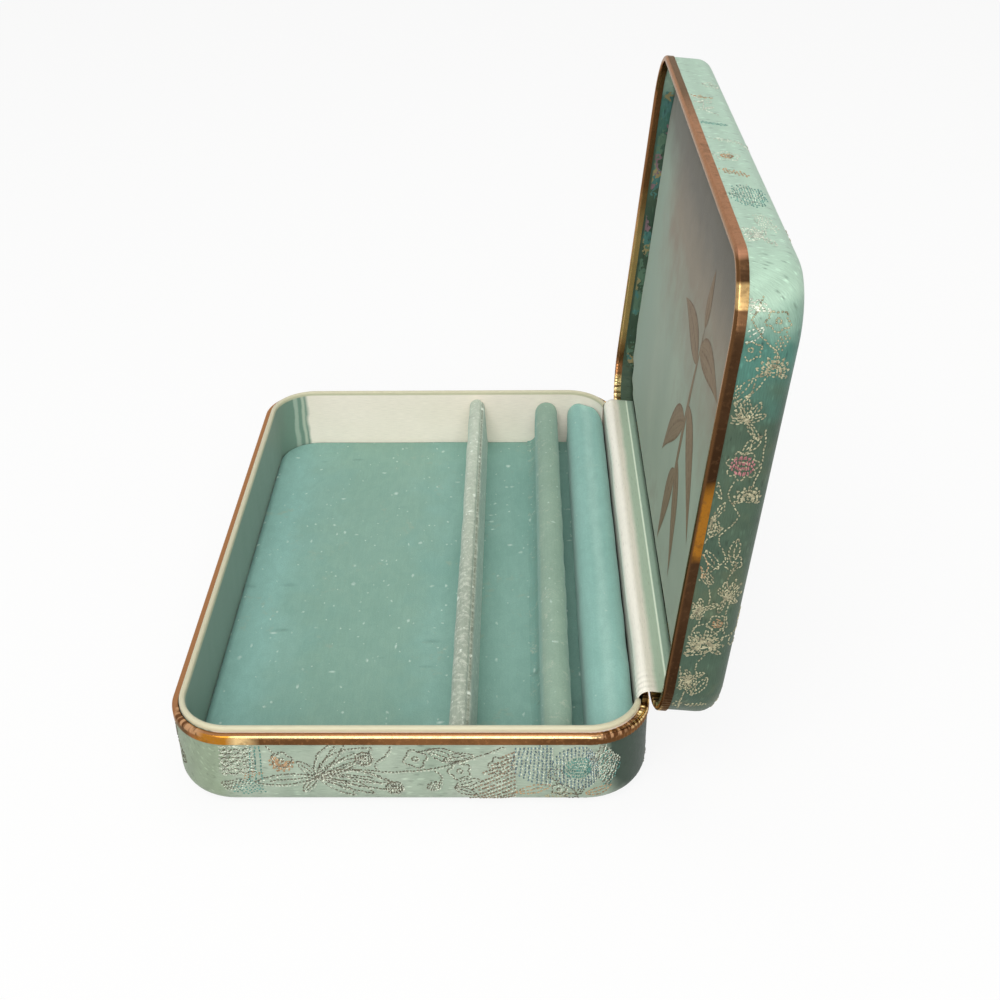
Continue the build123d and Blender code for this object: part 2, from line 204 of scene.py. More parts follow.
@dataclass(frozen=True)
class Outline:
    """Stations round a rounded rectangle, as corner-centre points and outward normals.

    A point at inset d is core + (corner - d) * normal, so one list serves every layer.
    """

    core: np.ndarray
    normal: np.ndarray

    @classmethod
    def round_the_case(cls, step: float, corner_steps: int, breaks: tuple[float, ...] = ()) -> Outline:
        """Stations counterclockwise from the hinge side's near end.

        Args:
            step: longest distance between stations on the straight sides.
            corner_steps: stations in each quarter turn.
            breaks: values of v that must have a station on the hinge side.

        Returns:
            The closed loop of stations, with no repeated point.
        """
        half_u = WALLS.width / 2 - WALLS.corner
        half_v = WALLS.length / 2 - WALLS.corner
        corners = ((half_u, -half_v), (half_u, half_v), (-half_u, half_v), (-half_u, -half_v))
        cores, angles = [], []
        for index in range(4):
            start, end = np.array(corners[index]), np.array(corners[(index + 1) % 4])
            stops = np.array((0.0, 1.0))
            if index == 0 and breaks:
                stops = np.sort(np.concatenate((stops, (np.array(breaks) + half_v) / (2 * half_v))))
            length = np.linalg.norm(end - start)
            for low, high in zip(stops[:-1], stops[1:]):
                count = max(1, math.ceil((high - low) * length / step))
                share = np.linspace(low, high, count, endpoint=False)[:, None]
                cores.append(start + (end - start) * share)
                angles.append(np.full(count, index * math.pi / 2))
            turn = np.linspace(0, math.pi / 2, corner_steps, endpoint=False)
            cores.append(np.repeat(end[None], corner_steps, axis=0))
            angles.append(index * math.pi / 2 + turn)
        angle = np.concatenate(angles)
        return cls(np.concatenate(cores), np.stack((np.cos(angle), np.sin(angle)), axis=-1))

    def route(self, keep: np.ndarray) -> Outline:
        """The stations whose index is in keep, in that order."""
        return Outline(self.core[keep], self.normal[keep])

    def points(self, inset: np.ndarray | float) -> np.ndarray:
        """Points at an inset: core + (corner - inset) * normal, inset one number or a column."""
        return self.core + (WALLS.corner - np.asarray(inset)) * self.normal

    def run(self) -> np.ndarray:
        """Distance along the outline to each station, and to the first one again at the end."""
        points = self.points(0.0)
        return run_along(np.concatenate((points, points[:1])))

    @classmethod
    def with_notches(cls, step: float, corner_steps: int) -> tuple[Outline, np.ndarray]:
        """Stations round the case, with one at each end of the two hinge notches.

        Args:
            step: longest distance between stations on the straight sides.
            corner_steps: stations in each quarter turn.

        Returns:
            The outline, and for each station whether a notch lies between it and the next.
        """
        offset, reach = WALLS.hinge_offset, WALLS.notch_half
        breaks = (-offset - reach, -offset + reach, offset - reach, offset + reach)
        outline = cls.round_the_case(step, corner_steps, breaks)
        along = outline.core[:, 1]
        middle = (along + np.roll(along, -1)) / 2
        hinge_side = outline.normal[:, 0] > 0.999
        return outline, hinge_side & (np.abs(np.abs(middle) - offset) < reach)


@dataclass(frozen=True)
class Profile:
    """A section through a wall: inset, depth and a scale towards the centre, row by row."""

    inset: np.ndarray
    depth: np.ndarray
    scale: np.ndarray

    @classmethod
    def through(cls, *runs: np.ndarray) -> Profile:
        """Joins runs of (inset, depth) or (inset, depth, scale) rows into one section."""
        rows = [np.column_stack((run, np.ones(len(run)))) if run.shape[1] == 2 else run for run in runs]
        table = np.concatenate(rows)
        return cls(table[:, 0], table[:, 1], table[:, 2])

    def length(self) -> np.ndarray:
        """Distance along the section to each row, counting only inset and depth."""
        return run_along(np.column_stack((self.inset, self.depth)))


def run_along(points: np.ndarray) -> np.ndarray:
    """Distance along a line of points to each of them, from zero at the first."""
    steps = np.linalg.norm(np.diff(points, axis=0), axis=1)
    return np.concatenate(((0.0,), np.cumsum(steps)))


def straight(start: Pair, end: Pair, count: int) -> np.ndarray:
    """Rows evenly spaced on the line from start to end, both included."""
    return np.linspace(start, end, count)


def arc(centre: Pair, radius: float, start: float, end: float, count: int) -> np.ndarray:
    """Rows on an arc: centre + radius * (cos, sin) of the angle from start to end in degrees."""
    angle = np.radians(np.linspace(start, end, count))
    return np.stack((centre[0] + radius * np.cos(angle), centre[1] + radius * np.sin(angle)), axis=-1)


def to_centre(inset: float, depth: float, count: int) -> np.ndarray:
    """Rows that shrink a flat face to its middle: the scale falls evenly from one to zero."""
    scale = np.linspace(1.0, 0.0, count + 1)[1:]
    return np.column_stack((np.full(count, inset), np.full(count, depth), scale))


def smooth_noise(points: np.ndarray, wavelength: float, seed: int) -> np.ndarray:
    """Soft unevenness, most of it between -1 and 1: twice the mean of sine waves of
    random heading and phase.

    Args:
        points: array whose last axis is x, y, z.
        wavelength: about how far apart the swellings are.
        seed: which of the many patterns.

    Returns:
        One value for each point.
    """
    rng = np.random.default_rng(seed)
    waves = 7
    heading = rng.normal(size=(waves, 3))
    heading /= np.linalg.norm(heading, axis=1)[:, None]
    pitch = 2 * math.pi / (wavelength * rng.uniform(0.6, 1.6, waves))
    phase = rng.uniform(0, 2 * math.pi, waves)
    return np.sin(points @ (heading * pitch[:, None]).T + phase).mean(axis=-1) * 2


def flat_as_points(flat: np.ndarray, wavelengths: Pair) -> np.ndarray:
    """Flat cloth points as x, y, 0 in units of a wavelength each way, for noise."""
    scaled = flat / np.array(wavelengths)
    return np.concatenate((scaled, np.zeros_like(scaled[..., :1])), axis=-1)


def mesh_object(name: str, vertices: np.ndarray, faces: list, uv: np.ndarray | None = None) -> Piece:
    """A shaded-smooth object from arrays.

    Args:
        name: the piece's name.
        vertices: rows of x, y, z in the row frame.
        faces: a list of vertex index lists.
        uv: one u, v pair for each face corner, in face order.

    Returns:
        The object, linked to the scene.
    """
    mesh = bpy.data.meshes.new(name)
    mesh.from_pydata(vertices.reshape(-1, 3).tolist(), [], faces)
    if uv is not None:
        layer = mesh.uv_layers.new(name="cloth")
        layer.data.foreach_set("uv", uv.astype(np.float32).ravel())
    mesh.polygons.foreach_set("use_smooth", np.ones(len(mesh.polygons), bool))
    mesh.update()
    piece = bpy.data.objects.new(name, mesh)
    bpy.context.scene.collection.objects.link(piece)
    return piece


@dataclass
class Grid:
    """A surface on a grid of rows and columns, closed along its columns if looped.

    Caps are columns that one face closes, those with a minus turned over.
    """

    name: str
    points: np.ndarray
    uv: np.ndarray
    looped: bool = True
    skip: np.ndarray | None = None
    closed_rows: bool = False
    caps: tuple[int, ...] = ()

    def build(self) -> Piece:
        """Quads between neighbouring grid points, but for those marked in skip.

        uv has one more column than points on a looped grid, and one more row on one whose
        rows close too, so that a pattern runs on across the join.

        Returns:
            The finished object, its coinciding points merged.
        """
        rows, columns = self.points.shape[:2]
        last_row = rows if self.closed_rows else rows - 1
        last_column = columns if self.looped else columns - 1
        row, column = np.meshgrid(np.arange(last_row), np.arange(last_column), indexing="ij")
        if self.skip is not None:
            chosen = ~self.skip[:last_row, :last_column]
            row, column = row[chosen], column[chosen]
        row, column = row.ravel(), column.ravel()
        offsets = ((0, 0), (0, 1), (1, 1), (1, 0))
        corners = [((row + dr) % rows) * columns + (column + dc) % columns for dr, dc in offsets]
        faces = np.stack(corners, axis=-1)
        uv = np.stack([self.uv[row + dr, column + dc] for dr, dc in offsets], axis=1)
        face_list = faces.tolist()
        uv_rows = [uv.reshape(-1, 2)]
        for cap in self.caps:
            ring = (np.arange(rows) * columns + abs(cap) % columns).tolist()
            face_list.append(ring[::-1] if cap < 0 else ring)
            uv_rows.append(self.uv[:rows, abs(cap) % columns])
        piece = mesh_object(self.name, self.points, face_list, np.concatenate(uv_rows))
        merge_doubles(piece)
        return piece


def merge_doubles(piece: Piece) -> None:
    """Joins points that coincide, as at a pole, and drops faces that this leaves flat."""
    distance = 0.002 * MM
    work = bmesh.new()
    work.from_mesh(piece.data)
    bmesh.ops.remove_doubles(work, verts=work.verts, dist=distance)
    bmesh.ops.dissolve_degenerate(work, edges=work.edges, dist=distance / 10)
    work.to_mesh(piece.data)
    work.free()
    piece.data.polygons.foreach_set("use_smooth", np.ones(len(piece.data.polygons), bool))
    piece.data.update()


def vertices_of(piece: Piece) -> np.ndarray:
    """The piece's vertices as rows of x, y, z."""
    points = np.zeros(len(piece.data.vertices) * 3)
    piece.data.vertices.foreach_get("co", points)
    return points.reshape(-1, 3)


def set_vertices(piece: Piece, points: np.ndarray) -> None:
    """Moves the piece's vertices to these rows of x, y, z."""
    piece.data.vertices.foreach_set("co", points.astype(np.float32).ravel())
    piece.data.update()


def face_outwards(piece: Piece) -> None:
    """Turns a mesh's faces over if they point inwards.

    The sum of area * (centre - mean centre) . normal is positive where faces point out.
    """
    polygons = piece.data.polygons
    count = len(polygons)
    centre, normal, area = np.zeros(count * 3), np.zeros(count * 3), np.zeros(count)
    polygons.foreach_get("center", centre)
    polygons.foreach_get("normal", normal)
    polygons.foreach_get("area", area)
    centre, normal = centre.reshape(-1, 3), normal.reshape(-1, 3)
    middle = (centre * area[:, None]).sum(axis=0) / area.sum()
    if (((centre - middle) * normal).sum(axis=1) * area).sum() < 0:
        piece.data.flip_normals()


def crease_sharp(piece: Piece, degrees: float) -> None:
    """Shades edges sharper than an angle as edges, and the rest smooth."""
    work = bmesh.new()
    work.from_mesh(piece.data)
    for edge in work.edges:
        edge.smooth = len(edge.link_faces) == 2 and edge.calc_face_angle(0) < math.radians(degrees)
    work.to_mesh(piece.data)
    work.free()


def give_thickness(piece: Piece, thickness: float, offset: float = -1.0) -> None:
    """Grows a sheet by its thickness: at -1 away from the side that its faces point to, at 0
    to both sides."""
    solid = piece.modifiers.new("thickness", "SOLIDIFY")
    solid.thickness, solid.offset = thickness, offset


def coat(piece: Piece, material: Material) -> Piece:
    """Gives a finished piece its material."""
    piece.data.materials.append(material)
    LOG.info("%s: %d faces", piece.name, len(piece.data.polygons))
    return piece


def dress(piece: Piece, body: Body, material: Material) -> Piece:
    """Gives a finished piece its body and material."""
    return coat(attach(piece, body.value), material)


def plan(outline: Outline, profile: Profile, pressed_out: np.ndarray | float = 0.0) -> np.ndarray:
    """Each row of the profile carried round the outline, in the rim plane.

    A point is scale * (core + (corner - inset + pressed out) * normal).

    Args:
        outline: the stations, one for each column.
        profile: the section, one row for each of its own.
        pressed_out: how far points are moved outwards, one number or one for each point.

    Returns:
        A grid of u, v.
    """
    reach = WALLS.corner - profile.inset[:, None] + pressed_out
    flat = outline.core[None] + reach[..., None] * outline.normal[None]
    return flat * profile.scale[:, None, None]


def sweep(half: Half, outline: Outline, profile: Profile) -> np.ndarray:
    """Grid of points: the profile's plan, each row at its depth."""
    return half.place(plan(outline, profile), profile.depth[:, None])


class Thread(Enum):
    """Yarns of the woven figures: width, length of one float, then colour."""

    # The gold thread painted dark brown: painted shade, for how gold weft looks where it catches no light.
    SHADED_GOLD = (0.46 * MM, 0.85 * MM, (0.110, 0.095, 0.055))
    BROWN = (0.60 * MM, 0.80 * MM, (0.210, 0.140, 0.080))
    GOLD = (0.44 * MM, 0.92 * MM, (0.365, 0.340, 0.210))
    RUST = (0.46 * MM, 0.90 * MM, (0.420, 0.260, 0.130))
    BLUE = (0.46 * MM, 0.95 * MM, (0.090, 0.165, 0.200))
    TEAL = (0.46 * MM, 1.00 * MM, (0.080, 0.250, 0.210))
    SILVER = (0.42 * MM, 0.90 * MM, (0.560, 0.610, 0.500))
    PINK = (0.50 * MM, 1.20 * MM, (0.390, 0.150, 0.155))

    @property
    def width(self) -> float:
        """Width of one float."""
        return self.value[0]

    @property
    def pitch(self) -> float:
        """Distance from one float to the next."""
        return self.value[1]

    @property
    def colour(self) -> Colour:
        """Colour of the yarn."""
        return self.value[2]


FLOAT_RISE, FLOAT_SINK = 0.36, 0.08
FLOAT_TRIANGLES_AT = (0.2, 0.8)


@dataclass(frozen=True)
class Stroke:
    """A row of floats along a line of points, in millimetres on the flat cloth."""

    points: np.ndarray
    thread: Thread


def bent(x: np.ndarray, y: np.ndarray, bend: float) -> np.ndarray:
    """Points (x, y) with y lifted by bend * x squared."""
    return np.stack((x, y + bend * x * x), axis=-1)


def leaf(length: float, width: float, thread: Thread, bend: float = 0.0) -> list[Stroke]:
    """A leaf from the origin along +x: two edges at plus and minus half the width times
    the sine of the way along, to the power 0.8, and a midrib."""
    way = np.linspace(0, 1, 22)
    rise = 0.5 * width * np.sin(math.pi * way) ** 0.8
    edges = [Stroke(bent(length * way, side * rise, bend), thread) for side in (1, -1)]
    return [*edges, Stroke(bent(length * way[2:17], 0 * way[2:17], bend), thread)]


def turned(strokes: list[Stroke], angle: float, scale: float = 1.0, move: Pair = (0, 0)) -> list[Stroke]:
    """Strokes turned by an angle in degrees, scaled and then moved."""
    cos, sin = math.cos(math.radians(angle)), math.sin(math.radians(angle))
    matrix = scale * np.array(((cos, sin), (-sin, cos)))
    return [Stroke(stroke.points @ matrix + np.array(move), stroke.thread) for stroke in strokes]


def spray(reach: float, thread: Thread) -> list[Stroke]:
    """Leaves that fan out from one stem, longest in the middle."""
    fan = ((-62, 0.62), (-34, 0.85), (-8, 1.0), (24, 0.92), (58, 0.8), (96, 0.66), (176, 0.8))
    strokes: list[Stroke] = []
    for angle, share in fan:
        bend = 0.012 if angle < 20 else -0.012
        strokes += turned(leaf(reach * share, reach * 0.22, thread, bend), angle)
    return strokes


def flower(radius: float, thread: Thread, petals: int = 5) -> list[Stroke]:
    """A blossom seen from the front: its edge swells once for each petal, round a small ring."""
    angle = np.linspace(0, 2 * math.pi, 16 * petals)
    edge = radius * (0.62 + 0.38 * np.abs(np.cos(petals * angle / 2)))
    ring = np.full_like(angle, radius * 0.26)
    both = [np.stack((r * np.cos(angle), r * np.sin(angle)), axis=-1) for r in (edge, ring)]
    return [Stroke(points, thread) for points in both]


def chrysanthemum(radius: float, thread: Thread) -> list[Stroke]:
    """Two rings of narrow petals on the upper side of a small heart."""
    strokes = flower(radius * 0.3, thread, 6)
    for ring, count in ((1.0, 9), (0.68, 7)):
        for angle in np.linspace(-20, 200, count):
            petal = leaf(radius * ring * 0.72, radius * 0.2, thread)[:2]
            strokes += turned(petal, angle, 1.0, tuple(turned_point(radius * 0.26, angle)))
    return strokes


def turned_point(distance: float, angle: float) -> np.ndarray:
    """The point at a distance along an angle in degrees."""
    return distance * np.array((math.cos(math.radians(angle)), math.sin(math.radians(angle))))


def hatch(width: float, height: float, gap: float, thread: Thread, slant: float = 0.0) -> list[Stroke]:
    """Side by side floats that fill an oval, each leaning by slant times its height."""
    strokes = []
    for x in np.arange(-width / 2 + gap / 2, width / 2, gap):
        half = 0.5 * height * math.sqrt(max(0.0, 1 - (2 * x / width) ** 2))
        if half > gap:
            y = np.array((-half, half))
            strokes.append(Stroke(np.stack((x + slant * y, y), axis=-1), thread))
    return strokes


def vine(length: float, sway: float, thread: Thread) -> list[Stroke]:
    """A waving stem, y = sway * sin, with a pair of curled tendrils and small leaves."""
    x = np.linspace(0, length, 40)
    strokes = [Stroke(np.stack((x, sway * np.sin(2 * math.pi * x / length)), axis=-1), thread)]
    curl_angle = np.linspace(0, 1.6 * math.pi, 20)
    curl_radius = np.linspace(0.14, 0.03, 20) * length
    curl = np.stack((curl_radius * np.sin(curl_angle), curl_radius * (1 - np.cos(curl_angle))), axis=-1)
    for share, side in ((0.3, 1), (0.62, -1)):
        place = (length * share, sway * math.sin(2 * math.pi * share))
        strokes += [Stroke(curl * np.array((1, side)) + np.array(place), thread)]
        strokes += turned(leaf(length * 0.2, length * 0.07, thread), -70 * side, 1.0, place)
    return strokes


def plume(length: float, width: float, thread: Thread) -> list[Stroke]:
    """Slanting barbs side by side, each shorter towards the ends, like a folded wing."""
    strokes = []
    for share in np.linspace(0, 1, 9):
        reach = length * (0.55 + 0.45 * math.sin(math.pi * share))
        start = np.array((0.1 * length * share, width * share))
        end = start + reach * np.array((0.9, 0.36))
        strokes.append(Stroke(np.stack((start, end)), thread))
    return strokes


def rosette(radius: float, spoke: Thread, heart: Thread) -> list[Stroke]:
    """A round figure: short spokes in a broad band round a heart of hatching."""
    strokes = []
    for angle in np.linspace(0, 360, 34, endpoint=False):
        ends = (turned_point(radius * 0.62, angle), turned_point(radius, angle))
        strokes.append(Stroke(np.stack(ends), spoke))
    return strokes + hatch(radius * 1.05, radius * 1.05, radius * 0.14, heart, 0.15)


def pebbles(width: float, height: float, thread: Thread, seed: int) -> list[Stroke]:
    """A patch of short floats scattered in rows, like moss."""
    rng = np.random.default_rng(seed)
    strokes = []
    for row, y in enumerate(np.arange(-height / 2, height / 2, 0.62)):
        for x in np.arange(-width / 2 + 0.45 * (row % 2), width / 2, 0.95):
            if (2 * x / width) ** 2 + (2 * y / height) ** 2 < rng.uniform(0.5, 1.05):
                start = np.array((x, y + rng.uniform(-0.12, 0.12)))
                strokes.append(Stroke(np.stack((start, start + np.array((0.62, 0)))), thread))
    return strokes


def ripples(width: float, height: float, thread: Thread) -> list[Stroke]:
    """Level waving lines, one above the other."""
    x = np.linspace(-width / 2, width / 2, 30)
    rows = np.linspace(-height / 2, height / 2, 7)
    return [Stroke(np.stack((x, y + 0.4 * np.sin(2.1 * x + 1.7 * y)), axis=-1), thread) for y in rows]


def barbs(width: float, height: float, thread: Thread) -> list[Stroke]:
    """Slanting stripes that end in points to the left, like the edge of a fan."""
    strokes = []
    for row, share in enumerate(np.linspace(0, 1, 12)):
        right = np.array((width, height * share))
        reach = width * (0.74 + 0.30 * math.sin(3.3 * share + 0.5) - 0.10 * (row % 3))
        left = right - reach * np.array((0.90, 0.47))
        strokes.append(Stroke(np.stack((left, right)), thread))
    return strokes


def panel(width: float, height: float, thread: Thread) -> list[Stroke]:
    """Upright stripes 0.9 mm apart, shorter and lower towards the left."""
    strokes = []
    for x in np.arange(0.0, width + 0.01, 0.9):
        low = height * 0.36 * (1 - x / width) ** 2 if width > 4 else 0.0
        slant = 1.6 * (1 - x / width)
        strokes.append(Stroke(np.array(((x - slant, low), (x, height))), thread))
    return strokes


def ringed_stripes(radius: float, hole: float, thread: Thread) -> list[Stroke]:
    """Upright stripes 0.9 mm apart that fill a disc and leave its middle free."""
    strokes = []
    for x in np.arange(-radius + 0.5, radius, 0.9):
        top, low = math.sqrt(radius**2 - x**2), math.sqrt(max(0.0, hole**2 - x**2))
        strokes += [Stroke(np.array(((x, side * low), (x, side * top))), thread) for side in (1, -1)]
    return strokes


class Side(Enum):
    """Walls with figures of their own: the way along each, and out from the face's middle."""

    NEAR = ((1, 0), (0, -1))
    FREE = ((0, 1), (-1, 0))

    @property
    def along(self) -> tuple[int, int]:
        """The way along the wall."""
        return self.value[0]

    @property
    def outward(self) -> tuple[int, int]:
        """The way out from the middle of the face."""
        return self.value[1]

    @property
    def half_size(self) -> float:
        """Distance from the middle of the face to the wall."""
        return (WALLS.width if self.outward[0] else WALLS.length) / 2


@dataclass(frozen=True)
class Drape:
    """Lays flat cloth over the outside of a half: the face first, then over its edge."""

    half: Half

    def over(self, flat: np.ndarray) -> tuple[np.ndarray, np.ndarray, np.ndarray]:
        """Where points of the flat cloth lie on the case.

        A point within the flat face stays there. Further out, it goes on from the nearest
        point of the face's edge: round the face radius, then straight up the wall.

        Args:
            flat: rows of x, y in metres, measured from the middle of the face.

        Returns:
            Places and outward directions in the row frame, and the depth below the rim.
        """
        start_inset = WALLS.cloth_inset + WALLS.face_radius
        core = np.array((WALLS.width / 2, WALLS.length / 2)) - WALLS.corner
        nearest = np.clip(flat, -core, core)
        away = flat - nearest
        distance = np.linalg.norm(away, axis=-1)
        direction = away / np.maximum(distance, 1e-9)[:, None]
        beyond = np.maximum(distance - (WALLS.corner - start_inset), 0.0)
        angle = np.minimum(beyond / WALLS.face_radius, math.pi / 2)
        climbed = np.maximum(beyond - WALLS.face_radius * math.pi / 2, 0.0)
        on_face = beyond <= 0
        reach = WALLS.corner - start_inset + WALLS.face_radius * np.sin(angle)
        place = nearest + direction * np.where(on_face, distance, reach)[:, None]
        depth = self.half.depth - WALLS.face_radius * (1 - np.cos(angle)) - climbed
        outward = np.column_stack((direction * np.sin(angle)[:, None], np.cos(angle)))
        return self.half.place(place, depth), self.half.turn(outward), depth

    def wall_point(self, side: Side, along: float, height: float) -> Pair:
        """Flat cloth point, in millimetres, on a wall at a height over the face.

        Its distance past the face's edge is radius * acos(1 - height / radius) on the rounded
        edge, and a quarter turn plus the rest of the height above it.
        """
        radius = WALLS.face_radius
        lifted = height * MM
        if lifted < radius:
            beyond = radius * math.acos(1 - lifted / radius)
        else:
            beyond = radius * math.pi / 2 + lifted - radius
        reach = (side.half_size - WALLS.cloth_inset - radius + beyond) / MM
        (along_x, along_y), (out_x, out_y) = side.along, side.outward
        return along_x * along + out_x * reach, along_y * along + out_y * reach


Placed = tuple[list[Stroke], float, float, float]


@dataclass
class Embroidery(ABC):
    """The woven figures of one half, gathered as strokes and laid as floats of thread.

    A float strays from its line and leans by random amounts, the fields being their spread,
    and covers a share of its step to each side of its middle, times a random gain. The
    clear margin is how far, in millimetres, scattered figures keep from the walls kept clear.
    """

    drape: Drape
    body: Body
    strokes: list[Stroke] = field(default_factory=list)
    face_relief_share: float = 1.0
    stray: float = 0.08 * MM
    lean: float = 0.2
    cover_share: float = 0.47
    cover_gain: Pair = (0.75, 1.15)
    rim_clearance: float = 0.2 * MM
    figure_scale: Pair = (0.85, 1.2)
    clear_margin: float = 8.0

    def put_on_wall(self, side: Side, *placed: Placed) -> None:
        """Adds figures to a wall, each with its x along the wall and its y towards the rim.

        Args:
            side: the wall.
            placed: for each figure its strokes, its distance along the wall, its height over
                the face, both in millimetres, and the degrees that it is turned by.
        """
        matrix = np.array((side.along, side.outward), dtype=float)
        for strokes, along, height, angle in placed:
            place = np.array(self.drape.wall_point(side, along, height))
            self.strokes += [Stroke(s.points @ matrix + place, s.thread) for s in turned(strokes, angle)]

    def put_lines(self, thread: Thread, side: Side, *lines: tuple[Pair, ...]) -> None:
        """Adds stems, each through its stops on a wall.

        A point of a stem is the mean of its straight runs over a short window, so corners soften.

        Args:
            thread: the yarn of the stems.
            side: the wall.
            lines: for each stem its stops, each a distance along the wall and a height over
                the face, in millimetres.
        """
        window = np.linspace(-1.6, 1.6, 9)
        for stops in lines:
            corners = np.array([self.drape.wall_point(side, *stop) for stop in stops])
            run = run_along(corners)
            ways = np.clip(np.linspace(0, run[-1], 80)[:, None] + window[None], 0, run[-1])
            x, y = (np.interp(ways, run, axis).mean(axis=1) for axis in corners.T)
            self.strokes.append(Stroke(np.stack((x, y), axis=-1), thread))

    def echo(self, source: Thread, thread: Thread, move: Pair) -> None:
        """Lays a second thread beside every stroke of one thread, moved by a little."""
        beside = [stroke for stroke in self.strokes if stroke.thread is source]
        self.strokes += [Stroke(stroke.points + np.array(move), thread) for stroke in beside]

    def scatter(self, spacing: float, seed: int, kept_clear: tuple[Side, ...]) -> None:
        """Figures over the whole cloth at the points of a staggered grid.

        Each point is moved by up to a fifth of the spacing, and takes the next figure of
        the round at a random angle. Walls kept clear have figures of their own.

        Args:
            spacing: distance between figures, in millimetres.
            seed: which arrangement.
            kept_clear: walls to leave out.
        """
        rng = np.random.default_rng(seed)
        wall = self.drape.half.depth / MM
        reach_x, reach_y = WALLS.width / MM / 2 + wall, WALLS.length / MM / 2 + wall
        figures = self.figures()
        index = 0
        for row, y in enumerate(np.arange(-reach_y, reach_y, spacing * 0.86)):
            for x in np.arange(-reach_x + spacing * 0.5 * (row % 2), reach_x, spacing):
                place = np.array((x, y)) + rng.uniform(-0.2, 0.2, 2) * spacing
                angle, scale = rng.uniform(0, 360), rng.uniform(*self.figure_scale)
                index += 1
                edges = ((place @ np.array(side.outward), side.half_size / MM) for side in kept_clear)
                if not any(distance > edge - self.clear_margin for distance, edge in edges):
                    figure = figures[(index + row) % len(figures)]
                    self.strokes += turned(figure, angle, scale, tuple(place))

    @abstractmethod
    def figures(self) -> list[list[Stroke]]:
        """The round of figures to scatter."""

    @abstractmethod
    def draw(self) -> None:
        """Puts every figure in its place."""

    def floats(self, thread: Thread) -> tuple[np.ndarray, np.ndarray]:
        """Start and end of each float of one thread, in metres on the flat cloth.

        Each stroke is cut at equal steps of the thread's pitch along its length.
        """
        starts, ends = [], []
        for stroke in self.strokes:
            if stroke.thread is not thread:
                continue
            run = run_along(stroke.points) * MM
            count = max(1, round(run[-1] / thread.pitch))
            stops = np.linspace(0, run[-1], count + 1)
            line = np.stack([np.interp(stops, run, axis) for axis in stroke.points.T], axis=-1) * MM
            starts.append(line[:-1])
            ends.append(line[1:])
        if not starts:
            return np.zeros((0, 2)), np.zeros((0, 2))
        return np.concatenate(starts), np.concatenate(ends)

    def build(self) -> None:
        """Draws the figures, and makes one piece for each thread out of its floats."""
        self.draw()
        for thread in Thread:
            start, end = self.floats(thread)
            if len(start):
                self.lay(thread, start, end)

    def lay(self, thread: Thread, start: np.ndarray, end: np.ndarray) -> None:
        """Lays the floats of one thread on the case, but for those that the rim would cover.

        The face that the case stands on has pressed its floats to a share of their height.

        Args:
            thread: the yarn.
            start: where the step of each float starts, in metres on the flat cloth.
            end: where that step ends.
        """
        rng = np.random.default_rng(len(start))
        middle = (start + end) / 2 + rng.normal(0, self.stray, start.shape)
        lean = rng.normal(0, self.lean, len(start))
        cos, sin = np.cos(lean), np.sin(lean)
        turn = np.stack((cos, -sin, sin, cos), axis=-1).reshape(-1, 2, 2)
        gain = rng.uniform(*self.cover_gain, (len(start), 1))
        covered = np.einsum("nij,nj->ni", turn, self.cover_share * (end - start)) * gain
        tail, _, tail_depth = self.drape.over(middle - covered)
        head, _, head_depth = self.drape.over(middle + covered)
        _, outward, depth = self.drape.over(middle)
        on_face = depth > self.drape.half.depth - 0.2 * MM
        outward *= np.where(on_face, self.face_relief_share, 1.0)[:, None]
        seen = np.minimum(tail_depth, head_depth) > WALLS.rim_outer_flange + self.rim_clearance
        name = f"{self.body.value}_figures_{thread.name.lower()}"
        piece = floats_mesh(name, tail[seen], head[seen], outward[seen], thread.width)
        dress(piece, self.body, thread_finish(thread))


